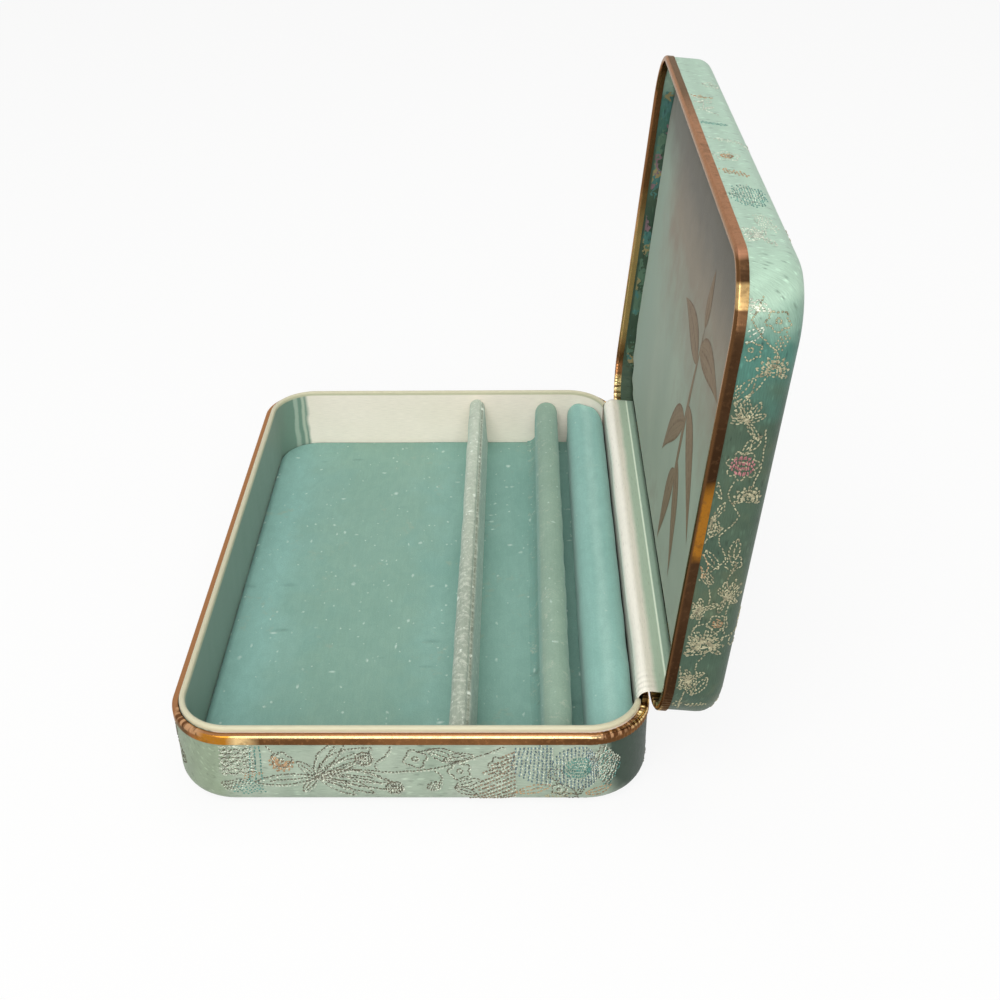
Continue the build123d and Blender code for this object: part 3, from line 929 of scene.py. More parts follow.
class BasePattern(Embroidery):
    """Leaves and vines in gold thread painted dark brown as painted shade, on pale mint, with a blue and
    brown fan at the near wall.
    """

    def figures(self) -> list[list[Stroke]]:
        """The round of figures to scatter."""
        shaded_gold = Thread.SHADED_GOLD
        return [
            spray(11.5, shaded_gold),
            vine(24, 2.2, shaded_gold),
            chrysanthemum(6.5, shaded_gold) + pebbles(4, 3, Thread.TEAL, 5),
            flower(3.6, shaded_gold) + flower(1.6, Thread.SILVER),
            rosette(5.5, Thread.BLUE, Thread.SILVER),
            spray(9.5, shaded_gold) + turned(hatch(3.4, 3.6, 0.7, shaded_gold), 0, 1, (6, 7)),
            plume(10, 7, Thread.BROWN),
            vine(20, -2.0, shaded_gold) + turned(flower(2.4, shaded_gold), 0, 1, (22, 2)),
        ]

    def near_wall(self) -> None:
        """The near wall, from its left corner to its right."""
        shaded_gold, near = Thread.SHADED_GOLD, Side.NEAR
        leaves = (
            (15.5, 3.4, 0.000, 186),
            (14.5, 4.6, -0.018, 74),
            (16.0, 5.4, -0.020, 52),
            (13.0, 3.6, -0.012, 36),
            (17.5, 4.2, -0.020, 14),
            (20.0, 5.0, -0.018, 8),
            (14.0, 3.6, -0.022, -4),
            (10.5, 3.0, -0.020, -22),
            (7.0, 2.2, 0.010, 128),
            (6.0, 2.0, 0.010, 228),
        )
        for length, width, bend, angle in leaves:
            self.put_on_wall(near, (leaf(length, width, shaded_gold, bend), -22.3, 9.6, angle))
        self.put_on_wall(
            near,
            (pebbles(9.5, 5.6, Thread.TEAL, 3), -39.5, 6.4, 0),
            (pebbles(10.0, 4.0, shaded_gold, 4), -43.0, 7.4, 14),
            (pebbles(6.0, 2.2, Thread.RUST, 9), -38.0, 10.4, 20),
            (ripples(10.5, 8.4, Thread.SILVER), -42.5, 15.0, 0),
            (ripples(10.5, 7.6, Thread.SILVER), -42.0, 15.6, 3),
            (ripples(9.5, 7.4, shaded_gold), -42.0, 14.7, 4),
            (panel(2.2, 14.0, Thread.TEAL), -37.2, 8.6, 0),
            (flower(2.7, shaded_gold), -30.5, 15.2, 8),
            (chrysanthemum(3.3, Thread.RUST), -30.5, 14.4, 160),
            (hatch(4.4, 4.6, 0.62, shaded_gold), -10.6, 15.6, 0),
            (flower(2.4, shaded_gold, 7), -10.6, 15.6, 0),
            (hatch(4.6, 3.8, 0.62, shaded_gold), -3.6, 6.2, 0),
            (flower(2.3, shaded_gold, 6), -3.6, 6.2, 0),
            (flower(3.1, shaded_gold, 4), 1.8, 15.6, 20),
            (flower(3.0, shaded_gold, 5), 12.4, 11.6, 40),
            (hatch(3.8, 3.2, 0.6, shaded_gold, 0.4), 6.2, 6.8, 0),
            (leaf(8.5, 2.8, shaded_gold), 4.6, 18.2, -26),
            (leaf(7.5, 2.6, shaded_gold, -0.02), 8.6, 15.0, 22),
            (leaf(6.5, 2.4, shaded_gold), 11.2, 6.6, 20),
            (leaf(6.0, 2.2, shaded_gold), 11.0, 6.2, -24),
            (barbs(12.5, 14.4, Thread.BROWN), 13.6, 3.4, 0),
            (barbs(12.5, 14.4, Thread.SILVER), 13.9, 2.9, 0),
            (panel(8.6, 13.6, Thread.BLUE), 26.4, 6.6, 0),
            (panel(8.6, 13.2, Thread.SILVER), 26.85, 7.0, 0),
            (ringed_stripes(6.9, 3.6, Thread.BLUE), 41.4, 12.6, 0),
            (ringed_stripes(6.8, 3.4, Thread.SILVER), 41.85, 12.6, 0),
            (hatch(7.4, 7.0, 0.5, Thread.TEAL, 0.25), 41.4, 12.6, 0),
            (pebbles(5.5, 4.6, Thread.SILVER, 12), 42.4, 14.0, 0),
            (ripples(9.5, 10.5, shaded_gold), 50.6, 12.4, 32),
            (ripples(9.5, 9.6, Thread.SILVER), 50.8, 12.8, 32),
            (ripples(8.5, 9.0, Thread.TEAL), 51.2, 10.6, 26),
            (flower(3.2, shaded_gold, 6), 22.4, 13.4, 0),
            (leaf(9.0, 2.6, Thread.RUST, 0.01), 26.0, 4.6, 10),
            (flower(2.0, shaded_gold), 36.5, 5.6, 0),
            (leaf(8.0, 2.4, Thread.RUST, -0.01), 43.0, 4.2, 6),
            (leaf(7.0, 2.2, Thread.GOLD, 0.01), 33.0, 3.0, 6),
        )
        self.put_lines(
            shaded_gold,
            near,
            ((-20.5, 10.2), (-13, 12.2), (-4, 11.2), (6, 12.2), (15, 15.4), (24, 19.6)),
            ((-7.5, 11.6), (-8.4, 14.0), (-5.0, 16.6), (-3.6, 20.0)),
            ((6.0, 12.2), (8.5, 9.8), (7.4, 7.6)),
            ((-34.0, 20.2), (-33.0, 17.8), (-30.5, 16.4)),
            ((2.0, 17.6), (8.0, 19.2), (12.0, 17.4), (14.5, 15.2)),
        )
        self.echo(shaded_gold, Thread.SILVER, (0.34, 0.40))

    def draw(self) -> None:
        """Near wall from its listed figures, and the rest scattered."""
        self.near_wall()
        self.scatter(16.5, 11, (Side.NEAR,))


class LidPattern(Embroidery):
    """Gold vines and flowers on mint that is painted darker than the base's, a painted shade."""

    def figures(self) -> list[list[Stroke]]:
        """The round of figures to scatter."""
        gold = Thread.GOLD
        return [
            vine(22, 2.4, gold),
            chrysanthemum(6.8, gold),
            spray(9.5, gold),
            pebbles(9, 6, Thread.TEAL, 21) + pebbles(8, 5, Thread.SILVER, 22),
            flower(3.4, gold) + hatch(3.6, 3.6, 0.55, Thread.RUST),
            vine(24, -2.2, gold) + turned(leaf(7, 2.8, gold), 30, 1, (12, 2)),
            spray(8.0, gold) + turned(hatch(3.2, 3.2, 0.5, Thread.TEAL), 0, 1, (7, -6)),
            plume(9, 6, gold),
        ]

    def near_wall(self) -> None:
        """The near wall, from the free side down to the hinge's end."""
        gold, near = Thread.GOLD, Side.NEAR
        self.put_on_wall(
            near,
            (chrysanthemum(4.0, Thread.SILVER), -55.0, 8.4, 90),
            (flower(2.8, gold), -50.5, 4.4, 20),
            (leaf(9.0, 3.2, Thread.SILVER, 0.02), -49.5, 7.6, 50),
            (spray(6.0, gold), -3.0, 11.0, 30),
            (spray(5.0, gold), 21.0, 9.6, 70),
            (spray(5.0, gold), 41.0, 9.0, 60),
            (leaf(6.0, 2.2, gold, 0.02), -24.0, 4.6, 30),
            (leaf(6.0, 2.2, gold, -0.02), 5.0, 11.4, -30),
            (flower(2.3, gold, 5), 53.5, 9.4, 0),
            (pebbles(6.0, 3.0, gold, 31), -45.5, 4.2, 30),
            (flower(2.6, gold, 6), -43.0, 10.4, 0),
            (chrysanthemum(3.8, gold), -38.5, 5.0, 90),
            (leaf(7.0, 2.6, gold, 0.02), -37.0, 8.4, 24),
            (pebbles(6.0, 2.4, gold, 32), -33.0, 11.6, 0),
            (spray(6.5, gold), -27.0, 8.2, 150),
            (hatch(5.0, 5.2, 0.46, Thread.PINK), -16.5, 7.2, 90),
            (flower(3.7, gold, 7), -16.5, 7.2, 0),
            (chrysanthemum(3.4, gold), -8.5, 4.6, 90),
            (leaf(7.0, 2.4, gold, 0.02), -8.0, 10.2, 140),
            (leaf(7.0, 2.4, gold, 0.02), -1.0, 8.4, 60),
            (leaf(6.5, 2.2, gold, -0.02), 1.5, 4.8, 10),
            (leaf(8.0, 3.2, Thread.RUST), 12.6, 10.6, 160),
            (hatch(2.8, 6.0, 0.5, gold, 0.2), 12.0, 10.4, 60),
            (flower(2.2, gold), 8.0, 4.6, 0),
            (spray(5.5, gold), 17.5, 4.8, 200),
            (pebbles(7.0, 2.2, gold, 33), 21.0, 11.4, 0),
            (chrysanthemum(5.0, gold), 31.5, 7.4, 90),
            (flower(1.9, gold, 6), 31.5, 7.4, 0),
            (leaf(7.0, 2.2, gold), 40.0, 5.0, 24),
            (leaf(7.5, 2.4, gold, 0.02), 47.0, 7.6, 160),
            (flower(2.6, gold), 24.6, 5.4, 0),
            (hatch(2.6, 2.8, 0.5, Thread.RUST), 24.6, 5.4, 0),
            (pebbles(6.0, 2.4, gold, 34), 51.0, 4.4, 40),
        )
        self.put_lines(
            gold,
            near,
            (
                (-58, 3.6), (-52, 9.8), (-46, 8.0), (-42, 4.0),
                (-36, 6.6), (-30, 10.6), (-24, 6.0), (-19.8, 6.4),
            ),
            ((-13, 8.0), (-9, 9.4), (-4, 5.2), (2, 9.6), (7, 6.2), (12, 10.4)),
            ((-26, 4.0), (-21, 3.4), (-16, 3.2), (-11, 4.4)),
            ((-12, 11.4), (-6, 12.6), (0, 10.8), (5, 12.2)),
            ((12, 10.0), (18, 8.0), (24, 9.4), (28, 11.2), (30.5, 9.4)),
            ((7, 3.6), (13, 5.6), (17, 3.6), (23, 4.2), (28, 3.4)),
            ((33, 6.4), (37, 8.8), (41, 7.0), (46, 9.8), (52, 8.6), (57, 5.6)),
            ((36, 12.2), (42, 10.8), (47, 12.6), (53, 11.4)),
        )

    def free_wall(self) -> None:
        """The free wall, quieter than the rest: pale pebbling and a few flowers."""
        silver, teal = Thread.SILVER, Thread.TEAL
        self.put_on_wall(
            Side.FREE,
            (pebbles(15.0, 9.0, teal, 41), -44.0, 7.0, 0),
            (pebbles(14.0, 8.0, silver, 42), -43.0, 7.4, 0),
            (spray(6.5, silver), -68.0, 8.2, 40),
            (pebbles(11.0, 5.0, silver, 45), -60.0, 6.0, 10),
            (pebbles(9.0, 3.4, Thread.RUST, 47), -28.0, 8.0, 60),
            (flower(3.4, silver), -16.0, 8.4, 0),
            (hatch(3.6, 3.4, 0.5, Thread.RUST), -16.0, 8.4, 0),
            (pebbles(12.0, 2.6, silver, 43), -4.0, 5.6, 70),
            (pebbles(10.0, 2.4, teal, 44), 10.0, 8.8, 80),
            (vine(18, 1.6, silver), 18.0, 6.0, 20),
            (pebbles(8.0, 2.2, Thread.RUST, 46), 34.0, 9.0, 75),
            (flower(2.6, silver), 47.0, 4.6, 0),
        )

    def draw(self) -> None:
        """Near and free walls from their listed figures, and the rest scattered."""
        self.near_wall()
        self.free_wall()
        self.scatter(15.5, 8, (Side.NEAR, Side.FREE))


def floats_mesh(
    name: str, tail: np.ndarray, head: np.ndarray, outward: np.ndarray, width: float
) -> Piece:
    """A closed bar for each float: two tips, and between them two triangles whose third
    point stands up from the cloth, the rest being sunk in it.

    Args:
        name: the piece's name.
        tail: one end of each float.
        head: the other end.
        outward: the cloth's outward direction at each float.
        width: width of the thread.

    Returns:
        One object with all the floats.
    """
    along = head - tail
    length = np.linalg.norm(along, axis=1, keepdims=True)
    side = np.cross(outward, along / np.maximum(length, 1e-9))
    side /= np.maximum(np.linalg.norm(side, axis=1, keepdims=True), 1e-9)
    half, rise, sink = 0.5 * width * side, FLOAT_RISE * width * outward, FLOAT_SINK * width * outward
    triangle = np.stack((half - sink, rise, -half - sink), axis=1)
    rings = [(tail + along * share)[:, None] + triangle for share in FLOAT_TRIANGLES_AT]
    points = np.concatenate(((tail - sink)[:, None], *rings, (head - sink)[:, None]), axis=1)
    bar = []
    for k in range(3):
        after = (k + 1) % 3
        bar += [(0, 1 + after, 1 + k), (1 + k, 1 + after, 4 + after), (1 + k, 4 + after, 4 + k)]
        bar.append((7, 4 + k, 4 + after))
    faces = (8 * np.arange(len(tail))[:, None, None] + np.array(bar)[None]).reshape(-1, 3)
    return mesh_object(name, points, faces.tolist())


@dataclass
class BrocadeCover:
    """Brocade drawn over one half: turned in at the mouth, up round the edge, over the face."""

    half: Half
    body: Body
    turn_in: float
    fillet_steps: int = 9
    face_rings: int = 12

    def profile(self) -> Profile:
        """The outer surface of the cloth, from the end of its turn-in to the face's middle."""
        notch, edge = WALLS.notch_depth, WALLS.rim_edge
        inner, outer, radius = WALLS.turn_in_inset, WALLS.cloth_inset, WALLS.face_radius
        depth = self.half.depth
        return Profile.through(
            straight((inner, self.turn_in), (inner, notch), 4)[:-1],
            straight((inner, notch), (inner, outer), 3)[:-1],
            straight((inner, outer), (edge, outer), 3)[:-1],
            arc((edge, edge), edge - outer, -90, -180, 5)[:-1],
            straight((outer, edge), (outer, notch), 3)[:-1],
            straight((outer, notch), (outer, depth - radius), 9)[:-1],
            arc((outer + radius, depth - radius), radius, 180, 90, self.fillet_steps),
            to_centre(outer + radius, depth, self.face_rings),
        )

    def flat_cloth(self, outline: Outline, profile: Profile) -> np.ndarray:
        """The cloth laid flat, in millimetres: the face as it is, then its edge and wall.

        Off the face, a point is the face edge's point + normal * the length of the section
        from there, so that figures run over the edge without a break.
        """
        core = np.concatenate((outline.core, outline.core[:1]))
        normal = np.concatenate((outline.normal, outline.normal[:1]))
        face_inset = WALLS.cloth_inset + WALLS.face_radius
        edge = core + (WALLS.corner - face_inset) * normal
        length = profile.length()
        on_face = int(np.argmax(profile.scale < 1)) - 1
        beyond = np.maximum(length[on_face] - length, 0.0)
        flat = edge[None] * profile.scale[:, None, None] + beyond[:, None, None] * normal[None]
        return flat / MM

    def build(self, material: Material) -> Piece:
        """The cover, open at its mouth and at the two hinge notches.

        Args:
            material: the brocade.

        Returns:
            The piece, in place of the CAD cover.
        """
        outline, at_hinge = Outline.with_notches(3.0 * MM, 14)
        profile = self.profile()
        depth_ahead = np.roll(profile.depth, -1)
        in_notch = np.maximum(profile.depth, depth_ahead) < WALLS.notch_depth + 0.01 * MM
        points, flat = sweep(self.half, outline, profile), self.flat_cloth(outline, profile)
        half_name = self.body.value
        skip = in_notch[:, None] & at_hinge[None]
        piece = Grid(f"{half_name}_brocade_cover", points, flat, skip=skip).build()
        face_outwards(piece)
        give_thickness(piece, WALLS.cloth)
        dress(piece, self.body, material)
        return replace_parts(piece, f"{half_name}_brocade")


@dataclass
class BrassRim:
    """Brass channel pressed over the edge of one half, crimped where it turns the corners."""

    half: Half
    body: Body
    crimp_height: float = 0.20 * MM
    bead_depth: float = 0.22 * MM
    crimp_pitch: float = 1.15 * MM
    mouth_bend: float = 0.3 * MM

    def profile(self) -> Profile:
        """The channel's closed section: up the outer flange, over the land, down inside."""
        sheet, edge, notch = WALLS.rim_sheet, WALLS.rim_edge, WALLS.notch_depth
        out, inner, mouth = WALLS.rim_outer_flange, WALLS.rim_inner_flange, WALLS.mouth_inset
        bend = self.mouth_bend
        return Profile.through(
            straight((0.0, out), (0.0, notch), 3)[:-1],
            straight((0.0, notch), (0.0, edge), 4)[:-1],
            arc((edge, edge), edge, 180, 270, 7)[:-1],
            straight((edge, 0.0), (mouth - bend, 0.0), 3)[:-1],
            arc((mouth - bend, bend), bend, 270, 360, 4)[:-1],
            straight((mouth, bend), (mouth, inner), 4),
            straight((mouth - sheet, inner), (mouth - sheet, sheet), 4),
            arc((edge, edge), edge - sheet, 270, 180, 6),
            straight((sheet, notch), (sheet, out), 2),
        )

    def crimps(self, outline: Outline, profile: Profile) -> tuple[np.ndarray, np.ndarray]:
        """How far each point is pressed out, and how far down, most in the hinge's corners.

        Both are rows of dimples, |sin| along the run, times how sharply the outline turns:
        the first on the outer flange, and the second where the land meets the lip.
        """
        run = outline.run()[:-1]
        turning = np.abs(outline.normal[:, 0] * outline.normal[:, 1]) * 2
        hinge_side = np.where(outline.normal[:, 0] > 0, 1.0, 0.12)
        wave = np.abs(np.sin(math.pi * run / self.crimp_pitch)) * turning**0.5 * hinge_side
        outer = np.clip(1 - profile.inset / (0.5 * MM), 0, 1) * (profile.depth > 0.3 * MM)
        land = np.clip((profile.inset - 0.5 * MM) / (0.4 * MM), 0, 1) * (profile.depth < 0.15 * MM)
        return self.crimp_height * outer[:, None] * wave[None], self.bead_depth * land[:, None] * wave[None]

    def build(self, material: Material) -> Piece:
        """The rim, cut away where the hinge knuckles pass.

        Args:
            material: the brass.

        Returns:
            The piece, in place of the CAD rim.
        """
        outline, at_hinge = Outline.with_notches(4.0 * MM, 84)
        profile = self.profile()
        pressed_out, pressed_down = self.crimps(outline, profile)
        points = self.half.place(plan(outline, profile, pressed_out), profile.depth[:, None] + pressed_down)
        length = np.append(profile.length(), profile.length()[-1] + WALLS.rim_sheet)
        uv = np.stack(np.meshgrid(outline.run() / MM, length / MM), axis=-1)
        skip = np.repeat(at_hinge[None], len(profile.depth), axis=0)
        starts = np.flatnonzero(at_hinge & ~np.roll(at_hinge, 1)).tolist()
        ends = np.flatnonzero(~at_hinge & np.roll(at_hinge, 1)).tolist()
        caps = (*starts, *(-column for column in ends))
        name = f"{self.body.value}_brass_rim"
        piece = Grid(name, points, uv, skip=skip, closed_rows=True, caps=caps).build()
        face_outwards(piece)
        crease_sharp(piece, 60)
        dress(piece, self.body, material)
        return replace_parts(piece, f"{self.body.value}_rim")


@dataclass
class WallLining:
    """Ivory satin over a card strip: outside flap, padded lip, and down to the floor."""

    half: Half
    flap: float = 8.0 * MM
    lip_radius: float = 0.6 * MM
    bottom: float = 19.5 * MM
    gusset_half: float = 76.5 * MM
    thickness: float = 0.16 * MM
    ripple: float = 0.07 * MM

    def build(self, material: Material) -> Piece:
        """The lining round three walls, with faint ripples where the satin is drawn down.

        Args:
            material: the ivory satin.

        Returns:
            The piece, in place of the CAD lining.
        """
        outline = Outline.round_the_case(2.0 * MM, 26)
        u, v = outline.points(WALLS.lip_inset).T
        kept = (np.abs(v) > self.gusset_half) | (u < WALLS.width / 2 - WALLS.corner)
        first = int(np.flatnonzero(kept & ~np.roll(kept, 1))[0])
        outline = outline.route((first + np.arange(int(kept.sum()))) % len(kept))
        lip, room, radius = WALLS.lip_inset, WALLS.room_inset, self.lip_radius
        top = radius - WALLS.lip_height
        profile = Profile.through(
            straight((lip, self.flap), (lip, top), 6)[:-1],
            arc((lip + radius, top), radius, 180, 360, 11)[:-1],
            straight((room, top), (room, self.bottom), 22),
        )
        points = sweep(self.half, outline, profile)
        run = run_along(outline.points(0.0))
        flat = np.stack(np.meshgrid(run / MM, profile.length() / MM), axis=-1)
        normal = np.column_stack((outline.normal, np.zeros(len(run))))
        soft = np.clip((profile.depth - 0.5 * MM) / (4 * MM), 0, 1) * (profile.inset > room - 0.01 * MM)
        ripple = smooth_noise(flat_as_points(flat, (5.0, 26.0)), 1.0, 31) * self.ripple
        points += (ripple * soft[:, None])[..., None] * self.half.turn(normal)[None]
        piece = Grid("base_wall_lining", points, flat, looped=False).build()
        face_outwards(piece)
        give_thickness(piece, self.thickness)
        dress(piece, Body.BASE, material)
        size = (profile.length()[-1], float(run[-1]))
        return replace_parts(piece, "base_wall_satin")


@dataclass
class VelvetFloor:
    """Velvet over a thin pad on the floor board, its edge turned down."""

    half: Half
    bottom: float = 2.9 * MM
    edge: float = 1.0 * MM
    rings: int = 26
    hollow: float = 0.1 * MM

    def build(self, material: Material) -> Piece:
        """The floor, lowered by soft hollows that are the hollow deep on average.

        Args:
            material: the velvet.

        Returns:
            The piece, in place of the CAD floor.
        """
        outline = Outline.round_the_case(5.0 * MM, 12)
        inset, edge = WALLS.velvet_inset, self.edge
        low, top = WALLS.base_depth - self.bottom, WALLS.base_depth - WALLS.floor_top
        profile = Profile.through(
            to_centre(inset, low, 4)[::-1],
            straight((inset, low), (inset, top + edge), 3)[:-1],
            arc((inset + edge, top + edge), edge, 180, 270, 6),
            to_centre(inset + edge, top, self.rings),
        )
        points = sweep(self.half, outline, profile)
        swell = smooth_noise(points, 34 * MM, 5) * self.hollow - self.hollow
        points[..., 2] += np.where(points[..., 2] > WALLS.floor_top - 0.2 * MM, swell, 0.0)
        flat = np.concatenate((points[..., :2], points[:, :1, :2]), axis=1) / MM
        piece = Grid("velvet_floor", points, flat).build()
        face_outwards(piece)
        dress(piece, Body.BASE, material)
        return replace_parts(piece, "floor_velvet")


@dataclass
class VelvetRoll:
    """A velvet covered roll that stands on the floor from wall to wall, half round on top
    unless it has radii of its own."""

    name: str
    node: str
    x: float
    width: float
    top: float
    radii: Pair | None = None
    foot: float = 0.0
    hem: float = 0.0
    crease: float = 0.0
    lump: float = 0.12 * MM
    seed: int = 1
    end_radius: float = 12.4 * MM
    end_fall: float = 0.35 * MM
    stations: int = 120

    def section(self) -> np.ndarray:
        """x, z round the roll from its left foot to its right, then as far as its hem.

        Straight flanks lean in to two quarter circles that meet at the top. The hem is a
        hollow quarter curve, where the cover runs out over the floor.
        """
        half, height = self.width / 2, self.top - WALLS.floor_top
        left, right = self.radii or (half, half)
        runs = [
            straight((-half - self.foot, 0), (-half, height - left), 12)[:-1],
            arc((left - half, height - left), left, 180, 90, 13)[:-1],
            arc((half - right, height - right), right, 90, 0, 13)[:-1],
            straight((half, height - right), (half + self.foot, 0), 12),
        ]
        if self.hem:
            runs.insert(0, arc((-half - self.hem, self.hem), self.hem, -90, -14, 9))
            runs[1] = straight((-half, self.hem * 0.8), (-half, height - left), 9)[:-1]
        section = np.concatenate(runs)
        return section + np.array((self.x, WALLS.floor_top - 0.05 * MM))

    def build(self, material: Material) -> Piece:
        """The roll, with soft lumps, a worn crease where it has one, and closed ends.

        Args:
            material: the velvet.

        Returns:
            The piece, in place of the CAD roll and its stuffing.
        """
        section = self.section()
        core_x, core_y = WALLS.width / 2 - WALLS.corner, WALLS.length / 2 - WALLS.corner
        past = np.clip(section[:, 0] - core_x, 0, self.end_radius - 0.01 * MM)
        end = core_y + np.sqrt(self.end_radius**2 - past**2)
        share = np.linspace(-1, 1, self.stations)
        share = np.sign(share) * (1 - (1 - np.abs(share)) ** 1.15)
        y = end[:, None] * share[None]
        x, z = (np.repeat(axis[:, None], self.stations, axis=1) for axis in section.T)
        points = np.stack((x, y, z), axis=-1)
        tangent = np.gradient(section, axis=0)
        normal = np.stack((-tangent[:, 1], tangent[:, 0]), axis=-1)
        normal /= np.linalg.norm(normal, axis=1)[:, None]
        lift = np.clip((section[:, 1] - WALLS.floor_top) / (4 * MM), 0, 1)[:, None]
        swell = self.lump * (smooth_noise(points, 11 * MM, self.seed) - 0.9)
        near_end = np.clip(1 - (end[:, None] - np.abs(y)) / (1.6 * MM), 0, 1)
        swell -= self.end_fall * near_end**2
        if self.crease:
            side = self.x + 0.36 * self.width
            line = np.exp(-(((x - side) / (0.42 * MM)) ** 2)) * (z > self.top - 0.62 * self.width)
            swell -= self.crease * line
        points[..., 0] += normal[:, :1] * swell * lift
        points[..., 2] += normal[:, 1:] * swell * lift
        round_it = np.repeat(run_along(section)[:, None], self.stations, axis=1)
        flat = np.stack((y, round_it), axis=-1) / MM
        flat = np.concatenate((flat, flat[:1]), axis=0)
        caps = (0, 1 - self.stations)
        piece = Grid(self.name, points, flat, looped=False, closed_rows=True, caps=caps).build()
        face_outwards(piece)
        crease_sharp(piece, 70)
        dress(piece, Body.BASE, material)
        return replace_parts(piece, f"{self.node}_velvet", f"{self.node}_core")


@dataclass
class LidPad:
    """Padded card in the lid under grey-green satin, swollen by a short cloth simulation."""

    half: Half
    inset: float = 1.65 * MM
    hinge_gap: float = 1.45 * MM
    face: float = 4.9 * MM
    back: float = 11.0 * MM
    edge: float = 1.8 * MM
    crown: float = 0.6 * MM
    rings: int = 24
    swell: float = 0.9 * MM
    pull: float = 0.10 * MM
    hollow: float = 0.12 * MM
    steps: int = 16
    sim_scale: float = 10.0
    cloth: tuple[tuple[str, float], ...] = (
        ("uniform_pressure_force", 4.0),
        ("mass", 0.4),
        ("tension_stiffness", 20.0),
        ("compression_stiffness", 20.0),
        ("bending_stiffness", 0.6),
    )

    def outline(self) -> Outline:
        """The pad's outline: the case's, with its hinge side drawn in to clear the gusset."""
        outline = Outline.round_the_case(3.6 * MM, 10)
        half_u = WALLS.width / 2 - WALLS.corner
        core = outline.core.copy()
        core[:, 0] -= self.hinge_gap * (core[:, 0] + half_u) / (2 * half_u)
        return Outline(core, outline.normal)

    def build(self, material: Material) -> Piece:
        """The pad: a flat back, upright sides and a softly crowned face.

        Args:
            material: the satin.

        Returns:
            The piece, in place of the CAD pad's satin and foam.
        """
        outline = self.outline()
        inset, face, edge = self.inset, self.face, self.edge
        profile = Profile.through(
            to_centre(inset, self.back, 3)[::-1],
            straight((inset, self.back), (inset, face + edge), 4)[:-1],
            arc((inset + edge, face + edge), edge, 180, 270, 6),
            to_centre(inset + edge, face, self.rings),
        )
        flat = plan(outline, profile)
        fall = self.crown * (flat[..., 0] / (WALLS.width / 2)) ** 2
        depth = profile.depth[:, None]
        depth = depth + np.where(depth < self.back - 1 * MM, fall, 0.0)
        uv = np.concatenate((flat, flat[:, :1]), axis=1) / MM
        piece = Grid("lid_satin_pad", self.half.place(flat, depth), uv).build()
        face_outwards(piece)
        self.puff_up(piece)
        self.pucker(piece)
        smooth = piece.modifiers.new("smooth", "SUBSURF")
        smooth.levels = smooth.render_levels = 1
        dress(piece, Body.LID, material)
        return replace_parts(piece, "lid_pad_satin", "lid_pad_foam")

    def puff_up(self, piece: Piece) -> None:
        """Runs cloth with air pressure on a copy ten times the size, pinned at the back.

        A vertex takes the copy's move, cut to the swell, and none where the card holds it.
        """
        start = vertices_of(piece)
        copy = bpy.data.objects.new("pad_simulation", piece.data.copy())
        bpy.context.scene.collection.objects.link(copy)
        set_vertices(copy, start * self.sim_scale)
        depth = self.half.untwist(start)[:, 2]
        held = copy.vertex_groups.new(name="held")
        held.add(np.flatnonzero(depth > self.face + self.edge + 0.6 * MM).tolist(), 1.0, "REPLACE")
        settings = copy.modifiers.new("cloth", "CLOTH").settings
        settings.use_pressure = True
        for name, value in self.cloth:
            setattr(settings, name, value)
        settings.effector_weights.gravity = 0.0
        settings.vertex_group_mass = "held"
        for frame in range(1, self.steps + 1):
            bpy.context.scene.frame_set(frame)
        view = bpy.context.evaluated_depsgraph_get()
        settled = copy.evaluated_get(view).to_mesh()
        end = np.zeros(len(settled.vertices) * 3)
        settled.vertices.foreach_get("co", end)
        move = end.reshape(-1, 3) / self.sim_scale - start
        length = np.linalg.norm(move, axis=1, keepdims=True)
        move *= np.minimum(1.0, self.swell / np.maximum(length, 1e-9))
        LOG.info("pad swelled by up to %.2f mm", float(np.linalg.norm(move, axis=1).max()) / MM)
        bpy.data.objects.remove(copy)
        bpy.context.scene.frame_set(1)
        set_vertices(piece, start + move)

    def pucker(self, piece: Piece) -> None:
        """Presses faint pulls into the satin near the pad's edge, and soft hollows all over."""
        points = vertices_of(piece)
        rows = self.half.untwist(points)
        on_face = np.clip((self.face + 1.6 * MM - rows[:, 2]) / (1.2 * MM), 0, 1)
        to_edge = np.minimum(WALLS.width / 2 - np.abs(rows[:, 0]), WALLS.length / 2 - np.abs(rows[:, 1]))
        near_edge = np.exp(-np.maximum(to_edge - 2 * MM, 0) / (7 * MM))
        flat = rows * np.array((1, 1, 0))
        pulls = smooth_noise(flat, 7 * MM, 17) * near_edge * self.pull
        hollows = smooth_noise(flat, 40 * MM, 23) * self.hollow
        set_vertices(piece, points + ((pulls + hollows) * on_face)[:, None] * self.half.inward)


